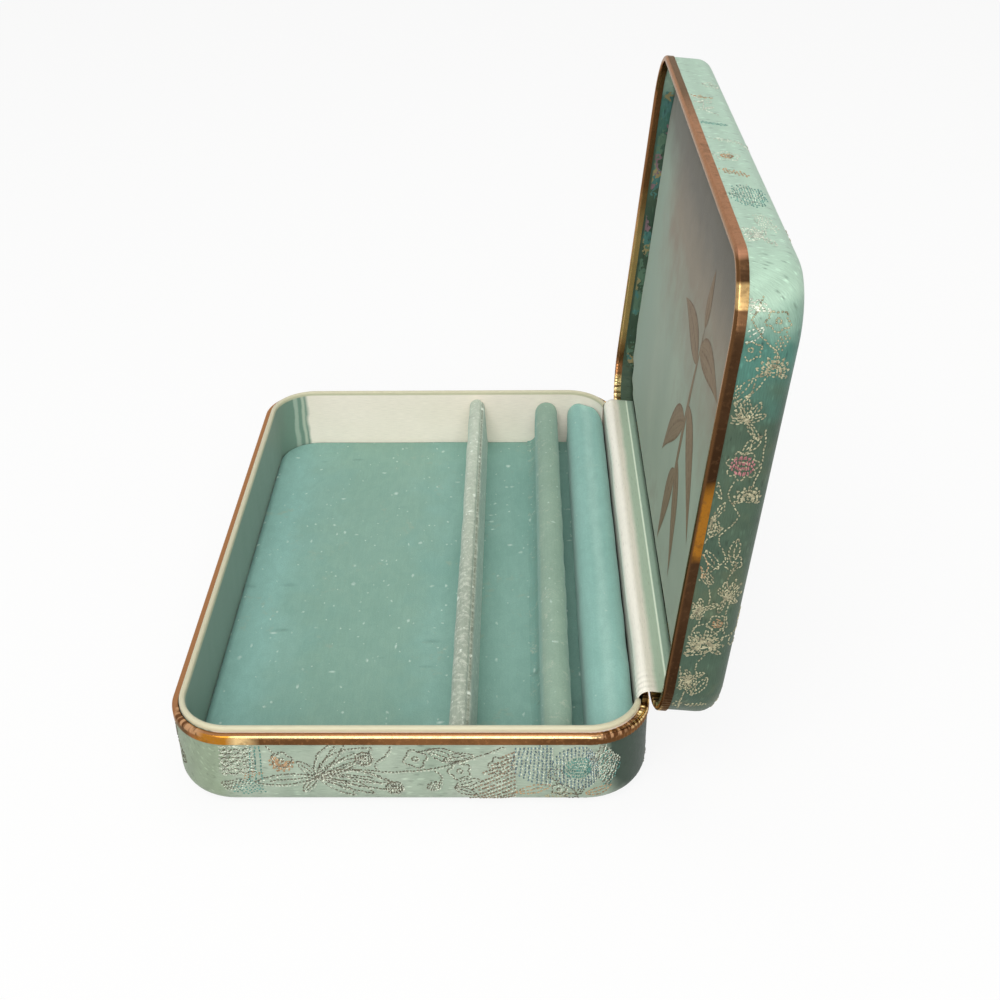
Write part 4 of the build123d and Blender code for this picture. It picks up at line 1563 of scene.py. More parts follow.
@dataclass
class PrintedSprig:
    """A generic sprig of slender leaves printed on the pad's satin.

    Each blade has the place of its foot from the sprig's middle, up the lid and along the
    hinge, then a heading in degrees, a length, a width and a bend. Lengths are millimetres.
    """

    half: Half
    pad: Piece
    middle: Pair = (6.0, -24.0)
    above: float = 0.05 * MM
    blades: tuple[tuple[float, float, float, float, float, float], ...] = (
        (-20, -9, 96, 52, 2.8, 0.0),
        (30, -14, 84, 15, 6.0, 0.010),
        (24, -13, 160, 30, 8.5, 0.010),
        (20, -13, 24, 30, 8.5, -0.010),
        (8, -12, 200, 34, 9.5, 0.010),
        (3, -11, 338, 34, 9.5, -0.010),
        (-8, -10, 232, 30, 8.5, 0.008),
        (-12, -10, 306, 30, 8.5, -0.008),
    )
    rows: int = 26
    columns: int = 5

    def build(self, material: Material) -> Piece:
        """The leaves, each a grid from stem to tip, laid on the pad.

        A leaf's half width is a share of sin(pi * way ** 0.7), which is widest near its foot.

        Args:
            material: the printing colour.

        Returns:
            The piece, its laying on the pad applied.
        """
        rows, columns = self.rows, self.columns
        way, across = np.meshgrid(np.linspace(0, 1, rows), np.linspace(-1, 1, columns), indexing="ij")
        points = []
        for u, v, angle, length, width, bend in self.blades:
            rise = 0.5 * width * np.sin(math.pi * way**0.7) * across
            x = length * way
            flat = np.stack((x, rise + bend * x * x), axis=-1).reshape(-1, 2)
            cos, sin = math.cos(math.radians(angle)), math.sin(math.radians(angle))
            place = flat @ np.array(((cos, sin), (-sin, cos))) + np.array((v, u))
            on_pad = np.stack((self.middle[0] - place[:, 1], self.middle[1] + place[:, 0]), axis=-1) * MM
            points.append(self.half.place(on_pad, 3.0 * MM))
        row, column = np.meshgrid(np.arange(rows - 1), np.arange(columns - 1), indexing="ij")
        first = (row * columns + column).ravel()
        quads = np.stack((first, first + 1, first + columns + 1, first + columns), axis=-1)
        faces = np.concatenate([quads + index * rows * columns for index in range(len(self.blades))])
        uv = np.tile(np.stack((way, across), axis=-1).reshape(-1, 2), (len(self.blades), 1))
        raw = mesh_object("sprig_flat", np.concatenate(points), faces.tolist(), uv[faces.ravel()])
        wrap = raw.modifiers.new("laid", "SHRINKWRAP")
        wrap.target = self.pad
        wrap.wrap_method = "PROJECT"
        wrap.use_negative_direction = wrap.use_positive_direction = True
        wrap.wrap_mode = "ABOVE_SURFACE"
        wrap.offset = self.above
        bpy.context.view_layer.update()
        view = bpy.context.evaluated_depsgraph_get()
        laid = bpy.data.meshes.new_from_object(raw.evaluated_get(view))
        piece = bpy.data.objects.new("lid_printed_sprig", laid)
        bpy.context.scene.collection.objects.link(piece)
        bpy.data.objects.remove(raw)
        return dress(piece, Body.LID, material)


@dataclass
class Gusset:
    """Satin strip over the hinge: out of the base, round the axis, under the lid's pad."""

    hinge: Hinge
    radius: float = 2.82 * MM
    drop: float = 9.0 * MM
    tuck: float = 6.5 * MM
    half_length: float = 76.0 * MM
    gather: float = 0.34 * MM
    gather_pitch: float = 2.1 * MM
    gather_reach: float = 9.0 * MM
    ripple: float = 0.10 * MM
    thickness: float = 0.2 * MM

    def build(self, material: Material) -> Piece:
        """The strip, gathered at its two ends and lightly rippled between them.

        The section is a straight drop, an arc round the hinge axis, and a straight tuck.
        The gathers are radius + gather * |sin| along the hinge, and die away from the ends.
        Gathers and ripples are full in the section's middle and gone near its edges.

        Args:
            material: the satin.

        Returns:
            The piece, which runs from base to lid round the hinge.
        """
        hinge = self.hinge
        turn = np.linspace(math.pi, math.pi - hinge.opening, 25)
        out = np.stack((np.cos(turn), np.sin(turn)), axis=-1)
        axis = np.array((hinge.x, hinge.z))
        first, last = axis + self.radius * out[0], axis + self.radius * out[-1]
        lid_run = np.array((math.sin(hinge.opening), math.cos(hinge.opening)))
        down = np.linspace(first + np.array((0, -self.drop)), first, 9)[:-1]
        up = np.linspace(last, last + lid_run * self.tuck, 7)[1:]
        section = np.concatenate((down, axis + self.radius * out, up))
        normal = np.concatenate((np.repeat(out[:1], 8, axis=0), out, np.repeat(out[-1:], 6, axis=0)))
        along = np.linspace(-1, 1, 360) * self.half_length
        from_end = self.half_length - np.abs(along)
        fade = np.exp(-from_end / self.gather_reach)
        phase = math.pi * along / self.gather_pitch + 0.6 * np.sin(along / (3 * MM))
        gathers = np.abs(np.sin(phase)) * fade
        steps = run_along(section)
        belly = np.sin(math.pi * np.clip((steps / steps[-1] - 0.2) / 0.62, 0, 1))
        y, s = np.meshgrid(along, steps)
        soft = smooth_noise(np.stack((s * 2.2, y * 0.35, 0 * s), axis=-1), 9 * MM, 41) * self.ripple
        lift = (self.gather * gathers[None] + soft) * belly[:, None]
        x, z = (section[:, axis, None] + normal[:, axis, None] * lift for axis in (0, 1))
        uv = np.stack((y, s), axis=-1) / MM
        piece = Grid("hinge_gusset_satin", np.stack((x, y, z), axis=-1), uv, looped=False).build()
        face_outwards(piece)
        give_thickness(piece, self.thickness, offset=0.0)
        coat(piece, material)
        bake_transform(piece)
        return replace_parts(piece, "hinge_gusset")


class Place(Enum):
    """Coordinates that a tint can follow, in millimetres: the cloth's own, or the case's."""

    CLOTH_X = ("cloth", "X")
    CLOTH_Y = ("cloth", "Y")
    X = ("case", "X")
    Y = ("case", "Y")
    Z = ("case", "Z")


@dataclass(frozen=True)
class Tint:
    """A change of colour across a piece, from no share at the rise's start to the whole
    share at its end, and back to none over the fall."""

    along: Place
    colour: Colour
    rise: Pair
    fall: Pair | None = None
    share: float = 1.0
    wander: float = 0.0


class Wiring:
    """Short calls that add nodes to one tree and return their sockets."""

    def __init__(self, tree: bpy.types.NodeTree) -> None:
        """Works on this tree."""
        self.tree = tree

    def feed(self, socket: Socket, value: object) -> None:
        """Links a socket into another, or sets it to a constant."""
        if isinstance(value, bpy.types.NodeSocket):
            self.tree.links.new(value, socket)
        elif isinstance(value, tuple) and len(value) == 3 and socket.type == "RGBA":
            socket.default_value = (*value, 1.0)
        else:
            socket.default_value = value

    def node(self, kind: str, inputs: dict | None = None, **settings: object) -> bpy.types.Node:
        """A node with its settings and inputs given.

        Args:
            kind: the node's type, without its ShaderNode prefix.
            inputs: sockets or constants by input name or number.
            settings: the node's own attributes.

        Returns:
            The node.
        """
        node = self.tree.nodes.new("ShaderNode" + kind)
        for name, value in settings.items():
            setattr(node, name, value)
        self.feed_all(node, inputs or {})
        return node

    def feed_all(self, node: bpy.types.Node, inputs: dict) -> None:
        """Feeds a node's inputs, given by name or number."""
        for name, value in inputs.items():
            self.feed(node.inputs[name], value)

    def math(self, operation: str, first: object, second: object = 0.0, clamp: bool = False) -> Socket:
        """One math node of two values."""
        inputs = {0: first, 1: second}
        return self.node("Math", inputs, operation=operation, use_clamp=clamp).outputs[0]

    def fitted(self, value: Socket, gain: float, offset: Socket | float) -> Socket:
        """The value times a gain, plus an offset."""
        return self.node("Math", {0: value, 1: gain, 2: offset}, operation="MULTIPLY_ADD").outputs[0]

    def axis(self, vector: Socket, name: str) -> Socket:
        """The X, Y or Z of a vector."""
        return self.node("SeparateXYZ", {0: vector}).outputs[name]

    def toned(self, tone: Socket, gain: Socket) -> Socket:
        """A colour made darker or lighter by a gain."""
        return self.node("VectorMath", {0: tone, "Scale": gain}, operation="SCALE").outputs[0]

    def scaled(self, vector: Socket, scale: Triple) -> Socket:
        """The vector stretched by a factor each way."""
        return self.node("Mapping", {"Vector": vector, "Scale": scale}).outputs[0]

    def noise(
        self, vector: Socket, scale: float | Socket, detail: float = 3.0, distortion: float = 0.0
    ) -> Socket:
        """Noise from about 0.3 to 0.7, at a scale in swellings per millimetre."""
        inputs = {"Vector": vector, "Scale": scale, "Detail": detail, "Distortion": distortion}
        return self.node("TexNoise", inputs).outputs["Fac"]

    def range(
        self, value: Socket, low: float, high: float, to_low: float = 0.0, to_high: float = 1.0
    ) -> Socket:
        """The value's range from low to high carried to another, and held there outside it."""
        inputs = {"Value": value, "From Min": low, "From Max": high, "To Min": to_low, "To Max": to_high}
        return self.node("MapRange", inputs).outputs[0]

    def mix(self, share: object, first: object, second: object) -> Socket:
        """Two colours mixed by a share."""
        node = self.node("Mix", data_type="RGBA")
        for index, value in ((0, share), (6, first), (7, second)):
            self.feed(node.inputs[index], value)
        return node.outputs[2]

    def tinted(self, tone: Socket | Colour, tints: tuple[Tint, ...]) -> Socket:
        """A colour with tints laid over it, each edge moved to and fro by its wander."""
        for tint in tints:
            source, axis = tint.along.value
            place = cloth_place(self) if source == "cloth" else millimetres(self)
            value = self.axis(place, axis)
            if tint.wander:
                noise = self.noise(millimetres(self), 0.12)
                value = self.math("ADD", value, self.range(noise, 0.3, 0.7, -tint.wander, tint.wander))
            share = self.range(value, *tint.rise, 0.0, tint.share)
            if tint.fall:
                share = self.math("MULTIPLY", share, self.range(value, *tint.fall, 1.0, 0.0))
            tone = self.mix(share, tone, tint.colour)
        return tone

    def bump(self, height: Socket, distance: float, strength: float) -> Socket:
        """A normal from a height, its distance in metres."""
        inputs = {"Height": height, "Distance": distance, "Strength": strength}
        return self.node("Bump", inputs).outputs[0]

    def group(self, tree: bpy.types.NodeTree, **inputs: object) -> dict[str, Socket]:
        """A shared group placed with its own values.

        Args:
            tree: the group.
            inputs: sockets or constants by input name, written small with underscores.

        Returns:
            The group's outputs by name.
        """
        node = self.tree.nodes.new("ShaderNodeGroup")
        node.node_tree = tree
        self.feed_all(node, {name.replace("_", " ").title(): value for name, value in inputs.items()})
        return node.outputs


def shared_group(
    name: str, settings: tuple[str, ...], outputs: tuple[str, ...]
) -> tuple[bpy.types.NodeTree, Wiring, dict[str, Socket]]:
    """An empty node group that takes a vector and some numbers.

    Args:
        name: the group's name.
        settings: names of its float inputs.
        outputs: names of its float outputs.

    Returns:
        The group, wiring that works in it, and the sockets that carry its inputs.
    """
    tree = bpy.data.node_groups.new(name, "ShaderNodeTree")
    tree.interface.new_socket("Vector", in_out="INPUT", socket_type="NodeSocketVector")
    for key in settings:
        tree.interface.new_socket(key, in_out="INPUT", socket_type="NodeSocketFloat")
    for key in outputs:
        tree.interface.new_socket(key, in_out="OUTPUT", socket_type="NodeSocketFloat")
    return tree, Wiring(tree), tree.nodes.new("NodeGroupInput").outputs


def times(gain: float, colour: Colour) -> Colour:
    """A colour made darker or lighter by a gain."""
    return tuple(gain * channel for channel in colour)


class Effects:
    """The effects that several finishes share, each built once as a node group."""

    def __init__(self) -> None:
        """Builds the groups."""
        self.weave = self.make_weave()
        self.flecks = self.make_flecks()
        self.wear = self.make_wear()

    def make_weave(self) -> bpy.types.NodeTree:
        """Threads crossing at a pitch: height is the mean of two sines, each blurred by
        noise so that no row runs quite straight, and slubs are noise drawn out along a row."""
        settings = ("Pitch", "Cross Pitch", "Unevenness")
        tree, wire, given = shared_group("woven_threads", settings, ("Height", "Slubs"))
        vector = given["Vector"]
        drift = wire.math("MULTIPLY", wire.noise(vector, 0.9, 2.0), given["Unevenness"])
        waves = []
        for axis, step in (("X", "Cross Pitch"), ("Y", "Pitch")):
            moved = wire.math("ADD", wire.axis(vector, axis), drift)
            turn = wire.math("MULTIPLY", wire.math("DIVIDE", moved, given[step]), 2 * math.pi)
            waves.append(wire.math("SINE", turn))
        height = wire.fitted(wire.math("ADD", *waves), 0.25, 0.5)
        slubs = wire.range(wire.noise(wire.scaled(vector, (0.35, 5.0, 1.0)), 1.0, 2.0), 0.3, 0.7)
        wire.feed_all(tree.nodes.new("NodeGroupOutput"), {"Height": height, "Slubs": slubs})
        return tree

    def make_flecks(self) -> bpy.types.NodeTree:
        """Loose lint: cells of a Voronoi pattern whose own random value is high enough, each
        shrunk to a fleck round its point, and drawn out along a heading."""
        tree, wire, given = shared_group("lint_flecks", ("Spacing", "Size", "Share"), ("Mask",))
        vector = given["Vector"]
        wobble = wire.node("TexNoise", {"Vector": vector, "Scale": 1.1, "Detail": 2.0}).outputs["Color"]
        bent = wire.node("VectorMath", {0: vector, 1: wobble}, operation="ADD").outputs[0]
        scale = wire.math("DIVIDE", 1.0, given["Spacing"])
        cells = wire.node("TexVoronoi", {"Vector": bent, "Scale": scale, "Randomness": 1.0}).outputs
        chosen = wire.math("LESS_THAN", wire.axis(cells["Color"], "X"), given["Share"])
        size = wire.math("MULTIPLY", given["Size"], wire.axis(cells["Color"], "Y"))
        inner = wire.math("SUBTRACT", 1.0, wire.math("DIVIDE", cells["Distance"], size), clamp=True)
        mask = wire.math("MULTIPLY", inner, chosen)
        wire.feed_all(tree.nodes.new("NodeGroupOutput"), {"Mask": mask})
        return tree

    def make_wear(self) -> bpy.types.NodeTree:
        """Uneven wear: broad noise and finer noise added, and cut off below a level."""
        tree, wire, given = shared_group("worn_patches", ("Scale", "Level"), ("Mask", "Grain"))
        vector, scale = given["Vector"], given["Scale"]
        broad = wire.noise(vector, scale, 4.0, 0.6)
        fine = wire.noise(vector, wire.math("MULTIPLY", scale, 7.0), 5.0)
        both = wire.fitted(fine, 0.4, wire.math("MULTIPLY", broad, 0.6))
        mask = wire.math("MULTIPLY", wire.math("SUBTRACT", both, given["Level"]), 9.0, clamp=True)
        made = {"Mask": mask, "Grain": wire.range(fine, 0.3, 0.7)}
        wire.feed_all(tree.nodes.new("NodeGroupOutput"), made)
        return tree


def new_material(name: str) -> tuple[Material, Wiring, bpy.types.Node]:
    """A material, wiring for its tree, and its Principled shader."""
    material = bpy.data.materials.new(name)
    material.use_nodes = True
    return material, Wiring(material.node_tree), material.node_tree.nodes["Principled BSDF"]


def millimetres(wire: Wiring) -> Socket:
    """Object coordinates in millimetres."""
    return wire.scaled(wire.node("TexCoord").outputs["Object"], (1 / MM, 1 / MM, 1 / MM))


def cloth_place(wire: Wiring) -> Socket:
    """The cloth's own flat coordinates, in millimetres."""
    return wire.node("UVMap", uv_map="cloth").outputs[0]


@dataclass(frozen=True)
class BrocadeFinish:
    """Silk brocade ground: satin with soft tonal clouds, fine weft lines and faded patches,
    and past a distance from the middle, blocks of woven colour.

    Flecks are a stretch, a spacing, and a change of brightness.
    """

    name: str
    light: Colour
    deep: Colour
    faded: Colour
    fading: float
    tints: tuple[Tint, ...] = ()
    blocks_past: float | None = None
    blocks: tuple[Colour, ...] = (
        (0.22, 0.14, 0.16),
        (0.07, 0.18, 0.16),
        (0.30, 0.25, 0.12),
        (0.10, 0.18, 0.12),
    )
    flecks: tuple[tuple[Triple, float, float], ...] = (
        ((0.6, 1.7, 1.0), 1.5, 0.55),
        ((0.8, 2.0, 1.0), 2.1, -0.5),
    )

    def make(self, effects: Effects) -> Material:
        """The material.

        Args:
            effects: the shared groups.

        Returns:
            The brocade's ground, without its figures.
        """
        material, wire, shader = new_material(self.name)
        place = cloth_place(wire)
        weave = wire.group(effects.weave, vector=place, pitch=0.55, cross_pitch=7.0, unevenness=0.9)
        wear = wire.group(effects.wear, vector=place, scale=0.045, level=self.fading)
        clouds = wire.range(wire.noise(place, 0.05, 3.0, 0.6), 0.36, 0.64)
        tone = wire.mix(clouds, self.deep, self.light)
        tone = wire.mix(wire.math("MULTIPLY", wear["Mask"], 0.35), tone, self.faded)
        tone = wire.tinted(tone, self.tints)
        if self.blocks_past is not None:
            tone = self.coloured_blocks(wire, place, tone)
        lines = wire.fitted(weave["Slubs"], 0.26, wire.range(weave["Height"], 0.2, 0.8, 0.84, 0.96))
        for stretch, spacing, change in self.flecks:
            drawn = wire.scaled(place, stretch)
            fleck = wire.group(effects.flecks, vector=drawn, spacing=spacing, size=0.5, share=0.6)
            lines = wire.math("ADD", lines, wire.math("MULTIPLY", fleck["Mask"], change))
        relief = wire.math("ADD", weave["Height"], wire.math("MULTIPLY", weave["Slubs"], 0.9))
        look = {
            "Base Color": wire.toned(tone, lines),
            "Roughness": wire.range(weave["Slubs"], 0.0, 1.0, 0.40, 0.60),
            "Sheen Weight": 0.05,
            "Specular IOR Level": 0.22,
            "Normal": wire.bump(relief, 0.05 * MM, 0.6),
        }
        wire.feed_all(shader, look)
        return material

    def coloured_blocks(self, wire: Wiring, place: Socket, tone: Socket) -> Socket:
        """Cells of a stretched Voronoi pattern, each of one colour, outside the given half length."""
        away = wire.math("ABSOLUTE", wire.axis(place, "Y"))
        ragged = wire.node("TexNoise", {"Vector": place, "Scale": 0.5, "Detail": 3.0}).outputs["Color"]
        moved = wire.node("VectorMath", {0: ragged, 1: (9.0, 9.0, 0.0), 2: place}, operation="MULTIPLY_ADD")
        drawn = wire.scaled(moved.outputs[0], (0.16, 0.40, 1.0))
        random = wire.node("TexVoronoi", {"Vector": drawn, "Scale": 1.0}).outputs["Color"]
        colour = self.blocks[0]
        for index, block in enumerate(self.blocks[1:], start=1):
            over = wire.math("GREATER_THAN", wire.axis(random, "X"), index / len(self.blocks))
            colour = wire.mix(over, colour, block)
        chosen = wire.math("LESS_THAN", wire.axis(random, "Y"), 0.55)
        inside = wire.range(away, self.blocks_past, self.blocks_past + 0.4)
        return wire.mix(wire.math("MULTIPLY", inside, chosen), tone, colour)


@cache
def thread_finish(thread: Thread) -> Material:
    """The yarn of one colour, its floats uneven in tone, made on first use."""
    material, wire, shader = new_material("figure_thread_" + thread.name.lower())
    dark = times(0.55, thread.colour)
    pale = tuple(min(1.0, channel + 0.04) for channel in times(1.25, thread.colour))
    place = millimetres(wire)
    look = {
        "Base Color": wire.mix(wire.range(wire.noise(place, 0.8, 3.0), 0.35, 0.65), dark, pale),
        "Roughness": wire.range(wire.noise(place, 2.2, 2.0), 0.3, 0.7, 0.26, 0.5),
        "Metallic": 0.1,
        "Normal": wire.bump(wire.noise(place, 6.0, 1.0), 0.04 * MM, 0.5),
    }
    wire.feed_all(shader, look)
    return material


@dataclass(frozen=True)
class SatinFinish:
    """Lining satin: close ribs along the weft, a few slubs, and age stains."""

    name: str
    light: Colour
    deep: Colour
    stain: Colour
    stained: float
    rib: float = 0.5
    roughness: float = 0.38
    gloss: float = 0.35
    tints: tuple[Tint, ...] = ()

    def make(self, effects: Effects) -> Material:
        """The material, from the shared groups."""
        material, wire, shader = new_material(self.name)
        place = cloth_place(wire)
        weave = wire.group(effects.weave, vector=place, pitch=self.rib, cross_pitch=0.9, unevenness=0.35)
        wear = wire.group(effects.wear, vector=place, scale=0.035, level=self.stained)
        tone = wire.mix(wire.range(wire.noise(place, 0.035, 3.0), 0.38, 0.62), self.deep, self.light)
        tone = wire.mix(wire.math("MULTIPLY", wear["Mask"], 0.35), tone, self.stain)
        tone = wire.tinted(tone, self.tints)
        low, high = self.roughness - 0.06, self.roughness + 0.10
        look = {
            "Base Color": wire.toned(tone, wire.range(weave["Slubs"], 0.0, 1.0, 0.94, 1.04)),
            "Roughness": wire.range(weave["Slubs"], 0.0, 1.0, low, high),
            "Sheen Weight": 0.1,
            "Specular IOR Level": self.gloss,
            "Normal": wire.bump(weave["Height"], 0.03 * MM, 0.5),
        }
        wire.feed_all(shader, look)
        return material


@dataclass(frozen=True)
class VelvetFinish:
    """Cotton velvet: short uneven pile with brushed rows, worn patches, lint and dents.

    A layer of lint is a stretch, a spacing, a size and a share of the cells.
    """

    name: str
    light: Colour
    deep: Colour
    worn: Colour
    wear: float
    lint_share: float
    wear_scale: float = 0.09
    tints: tuple[Tint, ...] = ()
    lint_colour: Colour = (0.54, 0.69, 0.62)
    lint_gain: float = 1.2
    sheen_tint: Colour = (0.62, 0.85, 0.80)
    lint_layers: tuple[tuple[Triple, float, float, float], ...] = (
        ((1.0, 0.8, 1.0), 4.6, 0.21, 1.0),
        ((0.62, 1.1, 1.0), 3.8, 0.21, 0.7),
        ((1.25, 0.55, 1.0), 3.2, 0.22, 0.8),
        ((1.0, 0.7, 1.0), 1.5, 0.30, 0.9),
    )

    def lint(self, wire: Wiring, effects: Effects, place: Socket) -> Socket:
        """Specks, and hairs lying both ways, as one mask."""
        total: Socket | float = 0.0
        for stretch, spacing, size, share in self.lint_layers:
            drawn, share = wire.scaled(place, stretch), self.lint_share * share
            lint = wire.group(effects.flecks, vector=drawn, spacing=spacing, size=size, share=share)
            total = wire.math("ADD", lint["Mask"], total)
        return wire.math("MULTIPLY", total, self.lint_gain, clamp=True)

    def make(self, effects: Effects) -> Material:
        """The material, from the shared groups."""
        material, wire, shader = new_material(self.name)
        place = millimetres(wire)
        clouds = wire.range(wire.noise(wire.scaled(place, (1.0, 0.45, 1.0)), 0.05, 3.0), 0.36, 0.64)
        rows = wire.noise(wire.scaled(place, (2.6, 0.12, 1.0)), 1.0, 2.0)
        pile = wire.noise(place, 2.4, 3.0)
        nap = wire.noise(wire.scaled(place, (1.0, 0.6, 1.0)), 0.32, 5.0, 0.8)
        wear = wire.group(effects.wear, vector=place, scale=self.wear_scale, level=self.wear)
        drawn = wire.scaled(place, (0.5, 1.3, 1.0))
        dents = wire.group(effects.flecks, vector=drawn, spacing=7.0, size=0.3, share=self.lint_share)
        lint = self.lint(wire, effects, place)
        tone = wire.tinted(wire.mix(clouds, self.deep, self.light), self.tints)
        tone = wire.mix(wire.range(rows, 0.35, 0.65, 0.0, 0.16), tone, times(1.25, self.light))
        tone = wire.mix(wire.range(pile, 0.35, 0.65, 0.0, 0.22), tone, times(0.62, self.deep))
        tone = wire.mix(wire.range(nap, 0.38, 0.62, 0.0, 0.2), tone, times(0.72, self.deep))
        tone = wire.mix(wire.math("MULTIPLY", wear["Mask"], 0.7), tone, self.worn)
        # The dents are also painted darker: painted shade in them.
        tone = wire.mix(wire.math("MULTIPLY", dents["Mask"], 0.5), tone, times(0.5, self.deep))
        relief = wire.math("ADD", pile, wire.math("MULTIPLY", lint, 0.9))
        relief = wire.math("SUBTRACT", relief, dents["Mask"])
        look = {
            "Base Color": wire.mix(lint, tone, self.lint_colour),
            "Roughness": wire.range(clouds, 0.0, 1.0, 0.95, 0.82),
            "Sheen Weight": 0.3,
            "Sheen Roughness": 0.45,
            "Sheen Tint": self.sheen_tint,
            "Normal": wire.bump(relief, 0.10 * MM, 0.8),
        }
        wire.feed_all(shader, look)
        return material


@dataclass(frozen=True)
class MetalFinish:
    """Plated sheet or wire: polish lines, a warm tarnish in patches and fine pits."""

    name: str
    bright: Colour
    tarnish: Colour
    level: float
    roughness: float

    def make(self, effects: Effects) -> Material:
        """The material, from the shared groups."""
        material, wire, shader = new_material(self.name)
        place = millimetres(wire)
        wear = wire.group(effects.wear, vector=place, scale=0.10, level=self.level)
        polish = wire.noise(wire.scaled(place, (0.3, 0.3, 6.0)), 1.0, 2.0)
        relief = wire.math("ADD", polish, wire.math("MULTIPLY", wear["Grain"], 0.6))
        look = {
            "Base Color": wire.mix(wire.math("MULTIPLY", wear["Mask"], 0.75), self.bright, self.tarnish),
            "Roughness": wire.fitted(wear["Mask"], 0.16, self.roughness),
            "Metallic": 1.0,
            "Normal": wire.bump(relief, 0.02 * MM, 0.35),
        }
        wire.feed_all(shader, look)
        return material


@dataclass(frozen=True)
class RimFinish:
    """The rim's brass, coloured band by band across its section as painted reflections: a dark brown flange
    and a dark inner flange, painted dark reflections of the room, and a lighter edge, a painted highlight
    where the lamps are reflected.

    The pairs are where each of these sets in along the section, on the cloth map, in
    millimetres from the outer flange's foot.
    """

    name: str
    flange: Colour
    dark_reflection: Colour
    lit_edge: Colour
    inner: Colour = (0.22, 0.10, 0.04)
    grazing: Colour = (0.85, 0.72, 0.60)
    gathers: Pair = (1.2, 1.7)
    edge: Pair = (1.75, 2.15)
    mouth: Pair = (2.7, 2.95)
    inner_flange: Pair = (3.3, 4.1)
    tints: tuple[Tint, ...] = ()
    flange_tints: tuple[Tint, ...] = ()
    inner_tints: tuple[Tint, ...] = ()
    hollows: tuple[Tint, ...] = ()
    crests: tuple[Tint, ...] = ()

    def make(self, effects: Effects) -> Material:
        """The material, from the shared groups.

        Where hollows and crests are tinted, the sheet looks gathered: folds cross the rim in its colour
        only, as painted shade in the hollows and painted highlights on the crests.
        """
        material, wire, shader = new_material(self.name)
        place = millimetres(wire)
        section = wire.axis(cloth_place(wire), "Y")
        wear = wire.group(effects.wear, vector=place, scale=0.16, level=0.5)
        slow = wire.range(wire.noise(place, 0.035, 3.0), 0.40, 0.60)
        flange = wire.tinted(wire.mix(slow, self.dark_reflection, self.flange), self.flange_tints)
        flange = wire.mix(wire.math("MULTIPLY", wear["Mask"], 0.45), flange, self.dark_reflection)
        specks = wire.range(wire.noise(place, 0.9, 3.0), 0.54, 0.64, 0.0, 0.3)
        flange = wire.mix(specks, flange, times(1.8, self.flange))
        # Patches of the painted highlight on the edge take the flange's colour.
        reflection_patches = wire.range(wear["Grain"], 0.2, 1.0, 0.0, 0.3)
        lit_edge = wire.mix(reflection_patches, wire.tinted(self.lit_edge, self.tints), self.flange)
        tone = wire.mix(wire.range(section, *self.edge), flange, lit_edge)
        tinted = wire.tinted(self.inner, self.inner_tints)
        deep = wire.mix(wire.range(section, *self.inner_flange), self.inner, tinted)
        tone = wire.mix(wire.range(section, *self.mouth), tone, deep)
        folds = wire.noise(wire.scaled(cloth_place(wire), (1.0, 0.15, 1.0)), 1.1, 2.0)
        low, high = wire.tinted(tone, self.hollows), wire.tinted(tone, self.crests)
        gathered = wire.mix(wire.range(folds, 0.44, 0.56), low, high)
        drawn = wire.noise(wire.scaled(cloth_place(wire), (0.08, 6.0, 1.0)), 1.0, 2.0)
        relief = wire.math("ADD", drawn, wire.math("MULTIPLY", wear["Grain"], 0.8))
        look = {
            "Base Color": wire.mix(wire.range(section, *self.gathers), tone, gathered),
            "Roughness": wire.fitted(wear["Grain"], 0.10, wire.range(section, *self.edge, 0.26, 0.15)),
            "Metallic": 1.0,
            "Specular Tint": self.grazing,
            "Normal": wire.bump(relief, 0.02 * MM, 0.4),
        }
        wire.feed_all(shader, look)
        return material


@dataclass(frozen=True)
class BoardFinish:
    """Pressed grey-brown board with its fibres."""

    name: str
    light: Colour = (0.42, 0.36, 0.28)
    deep: Colour = (0.27, 0.22, 0.17)

    def make(self, effects: Effects) -> Material:
        """The material, from the shared groups."""
        material, wire, shader = new_material(self.name)
        place = millimetres(wire)
        fibres = wire.noise(wire.scaled(place, (1.0, 0.2, 1.0)), 1.6, 5.0)
        wear = wire.group(effects.wear, vector=place, scale=0.2, level=0.5)
        look = {
            "Base Color": wire.mix(wire.range(fibres, 0.35, 0.65), self.deep, self.light),
            "Roughness": wire.range(wear["Grain"], 0.0, 1.0, 0.8, 0.95),
            "Normal": wire.bump(fibres, 0.08 * MM, 0.6),
        }
        wire.feed_all(shader, look)
        return material


@dataclass(frozen=True)
class PrintFinish:
    """Brown-gold printing on satin: thin at the leaf's edges, broken by the weave."""

    name: str
    ink: Colour
    ground: Colour

    def make(self, effects: Effects) -> Material:
        """The material, from the shared groups."""
        material, wire, shader = new_material(self.name)
        flat = cloth_place(wire)
        place = millimetres(wire)
        across = wire.math("ABSOLUTE", wire.axis(flat, "Y"))
        rim = wire.range(across, 0.72, 0.92)
        vein = wire.range(across, 0.05, 0.14, 0.8, 0.0)
        streaks = wire.range(wire.noise(wire.scaled(flat, (1.0, 7.0, 1.0)), 1.6, 2.0), 0.4, 0.6, 0.0, 0.55)
        broken = wire.range(wire.noise(place, 0.5, 3.0), 0.40, 0.62, 1.0, 0.35)
        share = wire.math("MAXIMUM", wire.math("MAXIMUM", rim, vein), streaks)
        wear = wire.group(effects.wear, vector=place, scale=0.3, level=0.5)
        look = {
            "Base Color": wire.mix(wire.math("MULTIPLY", share, broken), self.ground, self.ink),
            "Roughness": wire.range(wear["Grain"], 0.0, 1.0, 0.55, 0.7),
            "Specular IOR Level": 0.3,
        }
        wire.feed_all(shader, look)
        return material


